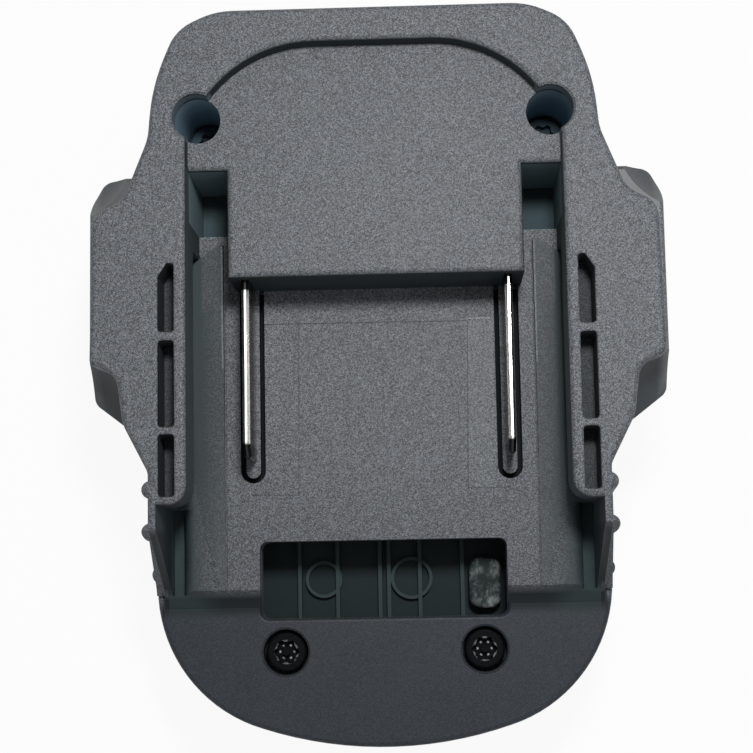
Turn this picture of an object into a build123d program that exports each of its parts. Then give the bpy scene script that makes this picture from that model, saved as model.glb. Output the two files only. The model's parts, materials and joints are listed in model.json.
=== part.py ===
"""Slide-on battery adapter for power tools.

The battery slides into the socket side from the round nose, under two lips, onto two blade contacts.
The other side carries a tower that slides into a tool, held there by two side buttons with hooks.

Millimetres. +X to the right, +Y from the nose to the terminal block, +Z out of the battery socket.
The origin is the bottom centre of the bounding box, on the flat face of the tower.
"""

import math
import os

from build123d import *

# Levels above the tower's flat face
RIM_Z = 45.0
DECK_Z = 42.0
LIP_UNDER_Z = 37.0
FLANGE_UNDER_Z = 39.0
FLOOR_Z = 29.5
NOSE_Z = 28.0
PARTING_Z = 22.0
SHOULDER_Z = 14.0

# Plan of the socket side
HALF_LENGTH = 54.8
FLANGE_HALF = 41.9
WALL_HALF = 33.4
NOSE_HALF = 34.6
SKIRT_HALF = 35.0
MOUTH_HALF = 27.7
GROOVE_HALF = 31.2
GROOVE_END_Y = 20.0
EAR_WALL_HALF = 32.5
SKIRT_STEP_Y = -13.0
LIP_END_Y = -18.6
LIP_END_ROUND = 2.8
SLOPE_START_Y = -21.8
SLOPE_END_Y = -31.6
FLOOR_END_Y = -31.5
NOSE_STEP_Y = -33.6
WALL = 2.2
EDGE_ROUND = 0.8
SMALL_ROUND = 0.5

# Corners of the outlines: x, y and corner radius of the right half, from the terminal block to the nose
SHOULDER_CORNERS = [(23.2, HALF_LENGTH, 12.0), (29.1, 52.1, 7.0), (32.65, 43.5, 30.0), (33.3, 35.6, 8.0)]
EAR_CORNERS = [
    (37.0, 26.3, 4.5),
    (41.5, 24.3, 3.6),
    (FLANGE_HALF, 2.1, 1.0),
    (38.0, 0.6, 3.2),
    (37.0, -6.8, 5.0),
]
SHELF_CORNERS = [
    (35.2, 30.8, 2.0),
    (38.6, 29.4, 3.0),
    (40.2, 25.0, 3.0),
    (40.2, 2.0, 3.0),
    (38.4, -3.6, 3.0),
    (SKIRT_HALF, -7.5, 2.0),
]
NOSE_CORNER = (29.3, -44.9)
NOSE_TIP = (18.8, -51.8)

# Terminal block and the deck above it
BLOCK_HALF = 21.9
BLOCK_FRONT_Y = 14.9
BLOCK_SKIN = 1.1
POCKET_Y = (23.6, 31.1)
POCKET_FLOOR_Z = 24.5
DECK_CORNERS = [
    (20.8, 49.7, 19.5),
    (MOUTH_HALF, 36.0, 6.0),
    (MOUTH_HALF, BLOCK_FRONT_Y, 0.0),
]

# Blade contacts
BLADE_X = 19.6
BLADE_T = 1.1
BLADE_Z = (29.3, 39.5)
BLADE_TIP_Y = -11.6
BLADE_REAR_Y = 30.0
BLADE_FIT = 0.05
BLADE_POCKET_HALF = 1.9
BLADE_POCKET_END_Y = -14.8
BLADE_POCKET_DEPTH = 2.2
TONGUE_HALF = 1.1
TONGUE_Z = 29.1

# Latch window in the floor, with a frame around it below
WINDOW_HALF = 18.75
WINDOW_Y = (-35.4, -23.7)
WINDOW_FRAME_Z = 24.2
WINDOW_FRAME_W = 1.6

# Lip slots: end positions along Y, and their common width and depth
SLOT_X = (29.5, 31.8)
SLOT_DEPTH = 6.5
SLOT_ENDS = ((6.6, 16.7), (-7.3, 5.3), (-17.4, -8.4))
SLOT_SLANT = (1.3, 2.0)
SLOT_ROUND = 0.3

# Grip ribs: position along Y, and how far each is sunk into the wall
GRIP_RIBS = ((-16.3, 0.4), (-22.4, 0.4), (-28.6, 1.0))
GRIP_RIB_R = 1.3

# Side channels beside the floor ahead of the lips
CHANNEL_HALF = 32.2
CHANNEL_W = 1.9
CHANNEL_FLOOR_Z = 26.2
CHANNEL_ROUND = 1.5

# Guide strips on the floor, highest at the terminal block and running out towards the nose
STRIP_X = (23.9, 29.4)
STRIP_Y = (-31.0, 22.0)
STRIP_H = 1.8
STRIP_CORNER = 0.8
STRIP_LEAN_DEG = 1.7
STRIP_TILT_DEG = 8.5
STRIP_END_DEG = 35.0

# Case screws
NOSE_SCREW = (15.1, -40.4)
UPPER_SCREW = (26.2, 38.7)
BORE_R = 3.45
BORE_CHAMFER = 0.3
BOSS_WALL = 1.6
NOSE_SEAT_Z = 24.4
UPPER_SEAT_Z = 26.0
SEAT_T = 1.8
SHANK_R = 1.5
SHANK_CLEARANCE = 0.2
THREAD_CLEARANCE = 0.05
SCREW_BOTTOM_Z = 17.4
THREAD_POST_R = 3.1
HEAD_R = 3.1
HEAD_H = 2.2
LOBE_R = 1.9
LOBE_DEPTH = 1.5
PIN_R = 0.55

# Tower on the tool side
RAIL_HALF = 29.0
RAIL_T = 4.5
RAIL_LEAD_IN = 2.5
NECK_HALF = 25.5
PLINTH_HALF = 30.5
PLINTH_Z = 10.0
PLINTH_ROUND = 3.0
TOWER_Y = (-22.0, 46.0)
TOWER_CAVITY_HALF = 23.3
TOWER_CAVITY_Y = (-19.8, 43.0)
TOWER_RECESS_HALF = 16.0
TOWER_RECESS_Y = (-17.0, -5.0)
TRAY_ROUND = 2.5
SEAM_INSET = 0.3
SEAM_H = 0.5
NOSE_PANEL_HALF = 20.0
NOSE_PANEL_Y = (-47.0, -29.0)
PANEL_DEPTH = 0.7

# Fork contacts, their slots and their carrier
FORK_X = (18.0, 9.0, 0.0, -9.0, -18.0)
TERMINAL_SLOT_W = 2.6
TERMINAL_SLOT_Y = 28.0
TERMINAL_SLOT_Z = 9.0
FORK_Y = (29.0, 30.2, 41.5)
FORK_LOW_Z = 3.2
FORK_MOUTH_HALF = 0.7
FORK_TAIL_Z = 14.2
FORK_TAIL_Y = 29.6
POWER_LEAF = 0.9
SIGNAL_LEAF = 0.6
FORK_CARRIER_Z = 13.0

# Release buttons: travel, and the running gap around them
TRAVEL = 2.5
GAP = 0.4
BUTTON_BACK_X = EAR_WALL_HALF + TRAVEL + 0.2
BUTTON_OUTER_X = 43.1
BUTTON_Y = (-6.5, 31.2)
BUTTON_Z = (PARTING_Z + GAP, FLANGE_UNDER_Z - GAP)
BUTTON_CORNERS = [
    (BUTTON_BACK_X, BUTTON_Y[1], 0.0),
    (41.3, BUTTON_Y[1], 1.8),
    (BUTTON_OUTER_X, 27.4, 5.0),
    (BUTTON_OUTER_X, -2.6, 1.8),
    (38.0, BUTTON_Y[0], 0.8),
    (BUTTON_BACK_X, BUTTON_Y[0], 0.0),
]
BUTTON_ROUND = 0.7
SCOOP_R = 14.0
LOW_SCOOP = (46.0, -8.0, 46.0)
HIGH_SCOOP = (47.5, 35.5, 47.0)
ARM_Y = (6.0, 20.0)
ARM_Z = (22.4, 25.8)
LEG_X = (20.5, 23.2)
LEG_Y = (8.0, 18.0)
HOOK_Z = (5.3, 9.3)
HOOK_TIP_X = NECK_HALF + TRAVEL - 0.1
HOOK_BLUNT_Y = 11.5
HOOK_HEEL_X = 25.0
GRIP_Y = (4.0, 8.2, 12.4, 16.6, 20.8)
GRIP_R = 0.9
GRIP_END = 2.2

# Release springs
SPRING_Y = 13.0
SPRING_Z = 32.0
SPRING_R = 2.45
SPRING_WIRE_R = 0.35
SPRING_TURNS = 5
SPRING_BORE_R = 3.2
SPRING_SEAT_X = 40.9
SPIGOT_R = 1.75
SPIGOT_L = 1.9

# Blade carrier and the tails of the blades
TAIL_Y = 23.6
TAIL_Z = 19.6
CARRIER_Y = (18.2, BLADE_REAR_Y + 1.8)
CARRIER_Z = (26.4, 34.0)
CARRIER_HALF = 20.6
CARRIER_POCKET_HALF = 16.5
CARRIER_WALL_Z = 31.5

# Circuit board, hung under the socket floor, and the parts on it
BOARD_HALF = 16.8
BOARD_Y = (-16.0, 13.0)
BOARD_TOP_Z = 23.0
BOARD_T = 1.6
BOARD_UNDER_Z = BOARD_TOP_Z - BOARD_T
BOARD_SCREW_R = 1.0
BOARD_HEAD_R = 1.9
POST_X = 13.5
POST_Y = (-12.5, 9.5)
POST_R = 2.4
RESISTOR_X = (-9.0, -5.5, 5.5, 9.0)
CHIP_LEGS = 4
CHIP_LEG_PITCH = 1.27
CAPACITOR_R = 2.6
CAPACITOR_L = 9.0

# Ribs, rings and a rounded stub on the floor of the tool-side shell, behind the latch window
RIB_X = (-13.6, -7.6, -0.9, 0.5, 5.4, 12.1)
RIB_HALF = 0.3
RIB_H = 1.6
RINGS = ((-9.8, 2.9), (4.1, 3.3))
RING_Y = -29.5
RING_WALL = 0.5
RING_H = 1.2
STUB_PLACE = (15.6, -30.4)
STUB_SIZE = (5.0, 8.0)
STUB_H = 3.4
STUB_ROUND = 0.5

# Wires
LEAD_Y = 26.0
LEAD_R = 1.2
LEAD_BEND = 1.8
SIGNAL_LEAD_R = 0.6
SIGNAL_LEAD_BEND = 1.6

# How far a cutting shape runs past what it cuts
PAST = 1.0
FAR = 70.0

UP = (Align.MIN, Align.MIN, Align.MIN)
BASED = (Align.CENTER, Align.CENTER, Align.MIN)


def block(x, y, z):
    """A box between pairs of limits."""
    size = Box(x[1] - x[0], y[1] - y[0], z[1] - z[0], align=UP)
    return Pos(x[0], y[0], z[0]) * size


def wide_block(half, y, z):
    """A box across the centre plane, from its half width and pairs of limits."""
    return block((-half, half), y, z)


def post(x, y, radius, z):
    """An upright cylinder between two heights."""
    return Pos(x, y, z[0]) * Cylinder(radius, z[1] - z[0], align=BASED)


def mirrored(shape):
    """The same shape on the other side of the centre plane."""
    return mirror(shape, about=Plane.YZ)


def pair(shape):
    """A shape and its mirror image."""
    return shape + mirrored(shape)


def prism(face, z):
    """A plan face raised between two heights."""
    return Pos(0, 0, z[0]) * extrude(face, z[1] - z[0])


def outline(corners):
    """A closed face from corners (x, y, corner radius)."""
    points = [(x, y) for x, y, _ in corners]
    return make_face(FilletPolyline(*points, radius=[r for _, _, r in corners], close=True))


def mirrored_plan(corners):
    """A closed plan face from the corners (x, y, corner radius) of its right half, top to bottom."""
    left = [(-x, y, r) for x, y, r in reversed(corners)]
    return outline(corners + left)


def side_profile(corners):
    """A bar across the whole part, from corners (y, z, corner radius) of its side view."""
    return extrude(Plane.YZ * outline(corners), FAR, both=True)


def front_bar(points, y):
    """A bar along Y, from points (x, z) of its front view and the pair of its ends."""
    front_view = Plane(origin=(0, y[0], 0), x_dir=(1, 0, 0), z_dir=(0, -1, 0))
    return extrude(front_view * make_face(Polyline(*points, close=True)), y[0] - y[1])


def flange_plan():
    """The rim flange, with its ears and the hollows at both ends of each ear."""
    wall = [(WALL_HALF, -13.8, 2.0), (WALL_HALF, NOSE_STEP_Y, 0.0)]
    return mirrored_plan(SHOULDER_CORNERS + EAR_CORNERS + wall)


def skirt_plan():
    """The outer walls below the flange, without the ears."""
    x, y, _ = SHOULDER_CORNERS[-1]
    ear_x, ear_y, _ = EAR_CORNERS[0]
    waist_y = y - (SKIRT_HALF - x) * (y - ear_y) / (ear_x - x)
    waist = [(SKIRT_HALF, waist_y, 1.0), (SKIRT_HALF, -9.6, 1.5)]
    wall = [(WALL_HALF, SKIRT_STEP_Y, 1.5), (WALL_HALF, NOSE_STEP_Y, 0.0)]
    return mirrored_plan(SHOULDER_CORNERS + waist + wall)


def nose_plan():
    """The round nose: two corner arcs and a flatter arc across the tip, closed inside the body."""
    side = (NOSE_HALF, -32.0)
    left_side, left_corner, left_tip = [(-x, y) for x, y in (side, NOSE_CORNER, NOSE_TIP)]
    right = ThreePointArc(side, NOSE_CORNER, NOSE_TIP)
    front = ThreePointArc(NOSE_TIP, (0, -HALF_LENGTH), left_tip)
    left = ThreePointArc(left_tip, left_corner, left_side)
    back = Polyline(left_side, (-NOSE_HALF, SKIRT_STEP_Y), (NOSE_HALF, SKIRT_STEP_Y), side)
    return make_face([right, front, left, back])


def edges_at(shape, z, length=0.0):
    """The edges that lie flat at one height and are longer than a length."""
    flat = shape.edges().filter_by_position(Axis.Z, z - 0.01, z + 0.01)
    return [edge for edge in flat if edge.length > length]


def within(edges, x, y):
    """The edges whose middle lies between two distances from the centre plane and two Y positions."""
    return [edge for edge in edges if x[0] < abs(edge.center().X) < x[1] and y[0] < edge.center().Y < y[1]]


def wall_slope():
    """What is cut away over the nose, with the slope of the side walls in side view."""
    return side_profile([
        (-FAR, NOSE_Z, 0.0),
        (SLOPE_END_Y, NOSE_Z, 5.0),
        (SLOPE_START_Y, RIM_Z, 7.0),
        (SLOPE_START_Y, RIM_Z + 5, 0.0),
        (-FAR, RIM_Z + 5, 0.0),
    ])


def side_draft():
    """The leaning outside of the right side wall, from the flange edge out to the nose width."""
    inner_x = WALL_HALF - WALL / 2
    high_z = RIM_Z - EDGE_ROUND
    points = [
        (inner_x, PARTING_Z),
        (NOSE_HALF, PARTING_Z),
        (NOSE_HALF, NOSE_Z),
        (WALL_HALF, high_z),
        (inner_x, high_z),
    ]
    return front_bar(points, (SLOPE_END_Y, SKIRT_STEP_Y))


def grip_rib(y, sunk):
    """One upright half-round rib, leaning with the side wall."""
    height = RIM_Z - PARTING_Z
    lean = math.atan((NOSE_HALF - WALL_HALF) / (RIM_Z - NOSE_Z))
    rod = Cylinder(GRIP_RIB_R, height, align=BASED)
    rod = fillet(edges_at(rod, height), GRIP_RIB_R * 0.8)
    foot_x = WALL_HALF + math.tan(lean) * height - sunk
    return Pos(foot_x, y, PARTING_Z) * Rot(0, -math.degrees(lean), 0) * rod


def outer_body():
    """The socket shell from outside, before anything is cut into it."""
    flange = prism(flange_plan(), (FLANGE_UNDER_Z, RIM_Z))
    flange = fillet(edges_at(flange, RIM_Z), EDGE_ROUND)
    body = flange + prism(skirt_plan(), (PARTING_Z, FLANGE_UNDER_Z)) + pair(side_draft())
    for y, sunk in GRIP_RIBS:
        body += pair(grip_rib(y, sunk))
    body -= wall_slope()
    nose = prism(nose_plan(), (PARTING_Z, NOSE_Z))
    round_edges = [edge for edge in edges_at(nose, NOSE_Z) if edge.center().Y < -NOSE_HALF]
    return body + fillet(round_edges, EDGE_ROUND)


def lip_slots():
    """The three upright slots in the right lip; the first has a slanted outer corner."""
    (x_in, x_out), (low_y, high_y) = SLOT_X, SLOT_ENDS[0]
    slant_x, slant_y = SLOT_SLANT
    first = outline([
        (x_in, low_y, SMALL_ROUND),
        (x_out, low_y, SMALL_ROUND),
        (x_out, high_y - slant_y, SMALL_ROUND),
        (x_out - slant_x, high_y, SLOT_ROUND),
        (x_in, high_y, SMALL_ROUND),
    ])
    slot_z = (RIM_Z - SLOT_DEPTH, RIM_Z + PAST)
    slots = prism(first, slot_z)
    for ends in SLOT_ENDS[1:]:
        slot = block(SLOT_X, ends, slot_z)
        slots += fillet(slot.edges().filter_by(Axis.Z), SMALL_ROUND)
    return slots


def mouth():
    """The open space between the two lips, widening to the side walls ahead of them."""
    plan = mirrored_plan([
        (MOUTH_HALF, POCKET_Y[1], 0.6),
        (MOUTH_HALF, LIP_END_Y, LIP_END_ROUND),
        (CHANNEL_HALF + 5, LIP_END_Y, 0.0),
        (CHANNEL_HALF + 5, -FAR, 0.0),
    ])
    between_walls = wide_block(CHANNEL_HALF, (-FAR, POCKET_Y[1]), (FLOOR_Z, RIM_Z + PAST))
    return prism(plan, (FLOOR_Z, RIM_Z + PAST)) & between_walls


def socket_cuts():
    """Everything taken out of the shell from the socket side."""
    grooves = wide_block(GROOVE_HALF, (LIP_END_Y - PAST, GROOVE_END_Y), (FLOOR_Z, LIP_UNDER_Z))
    kept_block = wide_block(BLOCK_HALF, (BLOCK_FRONT_Y, POCKET_Y[1] + PAST), (FLOOR_Z, DECK_Z))
    deck = prism(mirrored_plan(DECK_CORNERS), (DECK_Z, RIM_Z + PAST))
    pocket = block((BLOCK_HALF, MOUTH_HALF), POCKET_Y, (POCKET_FLOOR_Z, DECK_Z))
    channel_x = (CHANNEL_HALF - CHANNEL_W, CHANNEL_HALF)
    channel = block(channel_x, (SLOPE_END_Y, LIP_END_Y), (CHANNEL_FLOOR_Z, FLOOR_Z + PAST))
    return (mouth() + grooves - kept_block) + deck + pair(pocket) + pair(channel)


def floor_step():
    """What is cut away between the floor and the lower nose plate."""
    return side_profile([
        (-FAR, NOSE_Z, 0.0),
        (NOSE_STEP_Y, NOSE_Z, EDGE_ROUND),
        (FLOOR_END_Y, FLOOR_Z, EDGE_ROUND),
        (FLOOR_END_Y, FLOOR_Z + PAST, 0.0),
        (-FAR, FLOOR_Z + PAST, 0.0),
    ])


def round_ended_bar(half, z):
    """A bar below the right blade, from its half width and heights, round at the end of the blade pocket."""
    end_y = BLADE_POCKET_END_Y + BLADE_POCKET_HALF
    bar_y = (end_y, BLOCK_FRONT_Y + PAST)
    bar = block((BLADE_X - half, BLADE_X + half), bar_y, z)
    return bar + post(BLADE_X, end_y, half, z)


def blade_pockets():
    """The trenches around the tongues below the blades, and the slots in the block's front wall."""
    floor_z = FLOOR_Z - BLADE_POCKET_DEPTH
    pocket = round_ended_bar(BLADE_POCKET_HALF, (floor_z, FLOOR_Z + PAST))
    tongue = round_ended_bar(TONGUE_HALF, (floor_z, TONGUE_Z))
    half_t = BLADE_T / 2 + BLADE_FIT
    slot_y = (BLOCK_FRONT_Y - PAST, CARRIER_Y[0] + 1.8)
    slot_z = (BLADE_Z[0] - BLADE_FIT, BLADE_Z[1] + BLADE_FIT)
    slot = block((BLADE_X - half_t, BLADE_X + half_t), slot_y, slot_z)
    return pair(pocket - tongue + slot)


def latch_window():
    """The window through the floor for the battery's latch."""
    plan = RectangleRounded(2 * WINDOW_HALF, WINDOW_Y[1] - WINDOW_Y[0], 1.2)
    return prism(Pos(0, sum(WINDOW_Y) / 2, 0) * plan, (PARTING_Z - PAST, FLOOR_Z + PAST))


def guide_strips():
    """The two strips that guide the battery, slanted behind and running out to the front and side."""
    x_in, x_out = STRIP_X
    root_z = FLOOR_Z - WALL / 2
    crest_z = FLOOR_Z + STRIP_H
    strip = block(STRIP_X, STRIP_Y, (root_z, crest_z))
    above = block((-PAST, x_out - x_in + PAST), (-FAR, 5), (0, 9))
    lean = Pos(x_in, STRIP_Y[1], crest_z) * Rot(STRIP_LEAN_DEG, STRIP_TILT_DEG, 0) * above
    behind = block((-3, 12), (0, 8), (-1, 5))
    across = Pos(x_in + STRIP_CORNER, STRIP_Y[1], root_z) * Rot(0, 0, -STRIP_END_DEG) * behind
    return pair(strip - lean - across)


def inner_hollow():
    """What is hollowed out of the socket shell from below."""
    low_z = PARTING_Z - PAST
    under_floor = (low_z, FLOOR_Z - WALL)
    middle = wide_block(28.5, (NOSE_STEP_Y + 2, BLOCK_FRONT_Y + 2), under_floor)
    arm_room = wide_block(GROOVE_HALF, (-5.0, ARM_Y[1] + 1), under_floor)
    nose = prism(offset(nose_plan(), -WALL), (low_z, NOSE_Z - WALL))
    nose &= wide_block(FLANGE_HALF, (-FAR, NOSE_STEP_Y + WALL), (0, RIM_Z))
    block_y = (BLOCK_FRONT_Y + 1.6, POCKET_Y[1] + 4)
    block_core = wide_block(BLOCK_HALF - BLOCK_SKIN, block_y, (low_z, DECK_Z - WALL))
    deck_core = prism(offset(mirrored_plan(DECK_CORNERS), -WALL), (low_z, DECK_Z - WALL))
    deck_core &= wide_block(FLANGE_HALF, (POCKET_Y[1] + WALL, FAR), (0, RIM_Z))
    rim_core = offset(skirt_plan(), -WALL) - offset(mirrored_plan(DECK_CORNERS), WALL)
    rim_core = prism(rim_core, (low_z, RIM_Z - WALL - EDGE_ROUND))
    rim_core &= wide_block(FLANGE_HALF, (POCKET_Y[1] + WALL, FAR), (0, RIM_Z))
    return middle + arm_room + nose + block_core + deck_core + rim_core


def screw_posts():
    """Posts inside the socket shell around the screw bores and above the circuit board."""
    upper = pair(post(*UPPER_SCREW, BORE_R + BOSS_WALL, (PARTING_Z, RIM_Z - PAST)))
    nose = pair(post(*NOSE_SCREW, BORE_R + BOSS_WALL, (PARTING_Z, NOSE_Z - PAST)))
    board = Part()
    for y in POST_Y:
        board += pair(post(POST_X, y, POST_R, (BOARD_TOP_Z, FLOOR_Z - WALL / 2)))
    return upper + nose + board


def screw_bores():
    """The counterbored screw holes with their chamfered mouths, and the pilot holes in the board posts."""
    cuts = Part()
    for place, seat_z, top_z in ((UPPER_SCREW, UPPER_SEAT_Z, RIM_Z), (NOSE_SCREW, NOSE_SEAT_Z, NOSE_Z)):
        cone = Cone(BORE_R, BORE_R + 2 * BORE_CHAMFER, 2 * BORE_CHAMFER, align=BASED)
        cuts += pair(Pos(*place, top_z - BORE_CHAMFER) * cone)
        cuts += pair(post(*place, BORE_R, (seat_z, top_z + PAST)))
        cuts += pair(post(*place, SHANK_R + SHANK_CLEARANCE, (PARTING_Z - PAST, seat_z + PAST)))
        cuts += pair(post(*place, THREAD_POST_R + SHANK_CLEARANCE, (PARTING_Z - PAST, seat_z - SEAT_T)))
    for y in POST_Y:
        pilot_z = (BOARD_TOP_Z - PAST, FLOOR_Z - WALL)
        cuts += pair(post(POST_X, y, BOARD_SCREW_R + THREAD_CLEARANCE, pilot_z))
    return cuts


def button_room():
    """The room for the right button in the skirt, and the notch that its arm passes through."""
    low_y, high_y = BUTTON_Y
    outside = block((EAR_WALL_HALF, FAR), (low_y - GAP, high_y + GAP), (PARTING_Z - PAST, FLANGE_UNDER_Z))
    notch_x = (GROOVE_HALF - PAST, EAR_WALL_HALF + PAST)
    notch = block(notch_x, (ARM_Y[0] - GAP, ARM_Y[1] + GAP), (PARTING_Z - PAST, ARM_Z[1] + GAP))
    return outside + notch


def spring_spigot():
    """The peg on the skirt wall that centres the right spring."""
    peg = Cylinder(SPIGOT_R, SPIGOT_L, align=BASED)
    return Pos(EAR_WALL_HALF, SPRING_Y, SPRING_Z) * Rot(0, 90, 0) * peg


def under_floor_solids():
    """What is thickened below the floor: around the blade pockets and around the latch window."""
    skin = 1.2
    tub_x = (BLADE_X - BLADE_POCKET_HALF - skin, BLADE_X + BLADE_POCKET_HALF + skin)
    tub_z = (FLOOR_Z - BLADE_POCKET_DEPTH - skin, FLOOR_Z - PAST)
    tub = block(tub_x, (BLADE_POCKET_END_Y - skin, BLOCK_FRONT_Y + 2), tub_z)
    frame_y = (WINDOW_Y[0] - WINDOW_FRAME_W, WINDOW_Y[1] + WINDOW_FRAME_W)
    frame = wide_block(WINDOW_HALF + WINDOW_FRAME_W, frame_y, (WINDOW_FRAME_Z, NOSE_Z - PAST))
    return pair(tub) + frame


def socket_shell():
    """The upper moulding."""
    shell = outer_body() - inner_hollow() - pair(button_room())
    shell += screw_posts() + pair(spring_spigot()) + under_floor_solids()
    shell -= socket_cuts() + floor_step()
    rim_y = (LIP_END_Y + LIP_END_ROUND, HALF_LENGTH)
    shell = fillet(within(edges_at(shell, RIM_Z), (-1, MOUTH_HALF + 0.1), rim_y), EDGE_ROUND)
    block_y = (BLOCK_FRONT_Y - PAST, POCKET_Y[1] + 0.1)
    shell = fillet(within(edges_at(shell, DECK_Z), (-1, MOUTH_HALF), block_y), EDGE_ROUND)
    channel_x = CHANNEL_HALF - CHANNEL_W
    channel_edges = within(edges_at(shell, FLOOR_Z), (channel_x - 0.1, channel_x + 0.1), (SLOPE_END_Y, -20))
    shell = fillet(channel_edges, CHANNEL_ROUND)
    shell -= blade_pockets() + latch_window()
    window_y = (WINDOW_Y[0] - 0.1, NOSE_STEP_Y)
    shell = fillet(within(edges_at(shell, NOSE_Z), (-1, WINDOW_HALF + 0.1), window_y), SMALL_ROUND)
    shell += guide_strips()
    shell -= screw_bores() + pair(lip_slots())
    slot_x = (SLOT_X[0] - 0.1, SLOT_X[1] + 0.1)
    slot_edges = within(edges_at(shell, RIM_Z), slot_x, (SLOT_ENDS[2][0] - 0.1, SLOT_ENDS[0][1] + 0.1))
    shell = fillet(slot_edges, SLOT_ROUND)
    return shell & wide_block(FAR, (-FAR, FAR), (PARTING_Z, RIM_Z))


def tray_plan():
    """The outline of the tool-side shell, with a shelf below each button."""
    wall = [(NOSE_HALF, SKIRT_STEP_Y, 2.0), (NOSE_HALF, -30.0, 0.0)]
    return mirrored_plan(SHOULDER_CORNERS + SHELF_CORNERS + wall) + nose_plan()


def tray():
    """The tray of the tool-side shell, rounded below, with a shadow gap along the seam."""
    seam_z = PARTING_Z - SEAM_H
    body = prism(tray_plan(), (SHOULDER_Z, seam_z))
    body = fillet(edges_at(body, SHOULDER_Z), TRAY_ROUND)
    lip = prism(offset(tray_plan(), -SEAM_INSET), (seam_z - PAST, PARTING_Z))
    panel = RectangleRounded(2 * NOSE_PANEL_HALF, NOSE_PANEL_Y[1] - NOSE_PANEL_Y[0], 4.0)
    panel = prism(Pos(0, sum(NOSE_PANEL_Y) / 2, 0) * panel, (SHOULDER_Z - PAST, SHOULDER_Z + PANEL_DEPTH))
    return body + lip - panel


def tower():
    """The tower with its two rails, before it is hollowed."""
    rails = wide_block(RAIL_HALF, TOWER_Y, (0, RAIL_T))
    rails = chamfer(rails.edges().filter_by(Axis.Z).sort_by(Axis.Y)[-2:], RAIL_LEAD_IN)
    rails = fillet(edges_at(rails, 0), EDGE_ROUND)
    neck = wide_block(NECK_HALF, TOWER_Y, (RAIL_T - PAST, PLINTH_Z + PAST))
    plinth_y = (TOWER_Y[0] - PLINTH_ROUND, TOWER_Y[1] + 2)
    plinth = wide_block(PLINTH_HALF, plinth_y, (PLINTH_Z, SHOULDER_Z + PAST))
    plinth = fillet(plinth.edges().filter_by(Axis.Z), PLINTH_ROUND)
    plinth = chamfer(edges_at(plinth, PLINTH_Z), SMALL_ROUND)
    recess = RectangleRounded(2 * TOWER_RECESS_HALF, TOWER_RECESS_Y[1] - TOWER_RECESS_Y[0], 2.0)
    recess = prism(Pos(0, sum(TOWER_RECESS_Y) / 2, 0) * recess, (-PAST, PANEL_DEPTH))
    return rails + neck + plinth - recess


def tool_side_hollow():
    """What is hollowed out of the tool-side shell from above."""
    tray_z = (SHOULDER_Z + WALL, PARTING_Z + PAST)
    waist = offset(skirt_plan(), -WALL) & Rectangle(2 * (EAR_WALL_HALF - 1.3), 4 * HALF_LENGTH)
    nose = offset(nose_plan(), -WALL)
    cavity = wide_block(TOWER_CAVITY_HALF, TOWER_CAVITY_Y, (WALL, PARTING_Z + PAST))
    return prism(waist, tray_z) + prism(nose, tray_z) + cavity


def terminal_slots():
    """The five slots that the tool's own contacts enter."""
    half = TERMINAL_SLOT_W / 2
    cuts = Part()
    for x in FORK_X:
        cuts += block((x - half, x + half), (TERMINAL_SLOT_Y, TOWER_Y[1] + PAST), (-PAST, TERMINAL_SLOT_Z))
    return cuts


def window_ribs():
    """Ribs, rings and a rounded stub on the floor of the tool-side shell, seen through the latch window."""
    floor_z = SHOULDER_Z + WALL
    root_z = floor_z - SMALL_ROUND
    rib_y = (WINDOW_Y[0] - 2, WINDOW_Y[1] + 1.5)
    ribs = Part()
    for x in RIB_X:
        ribs += block((x - RIB_HALF, x + RIB_HALF), rib_y, (root_z, floor_z + RIB_H))
    for x, radius in RINGS:
        ring = post(x, RING_Y, radius, (root_z, floor_z + RING_H))
        ribs += ring - post(x, RING_Y, radius - RING_WALL, (floor_z, floor_z + RING_H + PAST))
    stub = prism(Pos(*STUB_PLACE, 0) * RectangleRounded(*STUB_SIZE, 1.8), (root_z, floor_z + STUB_H))
    return ribs + fillet(edges_at(stub, floor_z + STUB_H), STUB_ROUND)


def tool_side_shell():
    """The lower moulding, with the tower that goes into the tool."""
    shell = tray() + tower() - tool_side_hollow()
    shell += window_ribs()
    for place, seat_z in ((UPPER_SCREW, UPPER_SEAT_Z), (NOSE_SCREW, NOSE_SEAT_Z)):
        shell += pair(post(*place, THREAD_POST_R, (SHOULDER_Z + PAST, seat_z - SEAT_T)))
        shell -= pair(post(*place, SHANK_R + THREAD_CLEARANCE, (SCREW_BOTTOM_Z - PAST, seat_z)))
    window_x = (TOWER_CAVITY_HALF - PAST, NECK_HALF + PAST)
    hook_window = block(window_x, (LEG_Y[0] - GAP, LEG_Y[1] + GAP), (HOOK_Z[0] - GAP, HOOK_Z[1] + GAP))
    return shell - pair(hook_window) - terminal_slots()


def scooped(pad):
    """The right button's pad with the round scoops in its top, at both ends of the flange's ear."""
    for centre in (LOW_SCOOP, HIGH_SCOOP):
        pad -= Pos(*centre) * Sphere(SCOOP_R)
    return pad


def button_pad():
    """The right button's pad, rounded, scooped and grooved."""
    pad = prism(outline(BUTTON_CORNERS), BUTTON_Z)
    edges = edges_at(pad, BUTTON_Z[0]) + edges_at(pad, BUTTON_Z[1])
    pad = fillet([edge for edge in edges if edge.center().X > BUTTON_BACK_X + 0.5], BUTTON_ROUND)
    pad = scooped(pad)
    groove_x = BUTTON_OUTER_X + GRIP_R / 2
    for y in GRIP_Y:
        pad -= post(groove_x, y, GRIP_R, (BUTTON_Z[0] + GRIP_END, BUTTON_Z[1] - GRIP_END))
    bore = Cylinder(SPRING_BORE_R, SPRING_SEAT_X - BUTTON_BACK_X + PAST, align=BASED)
    return pad - Pos(BUTTON_BACK_X - PAST, SPRING_Y, SPRING_Z) * Rot(0, 90, 0) * bore


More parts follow.
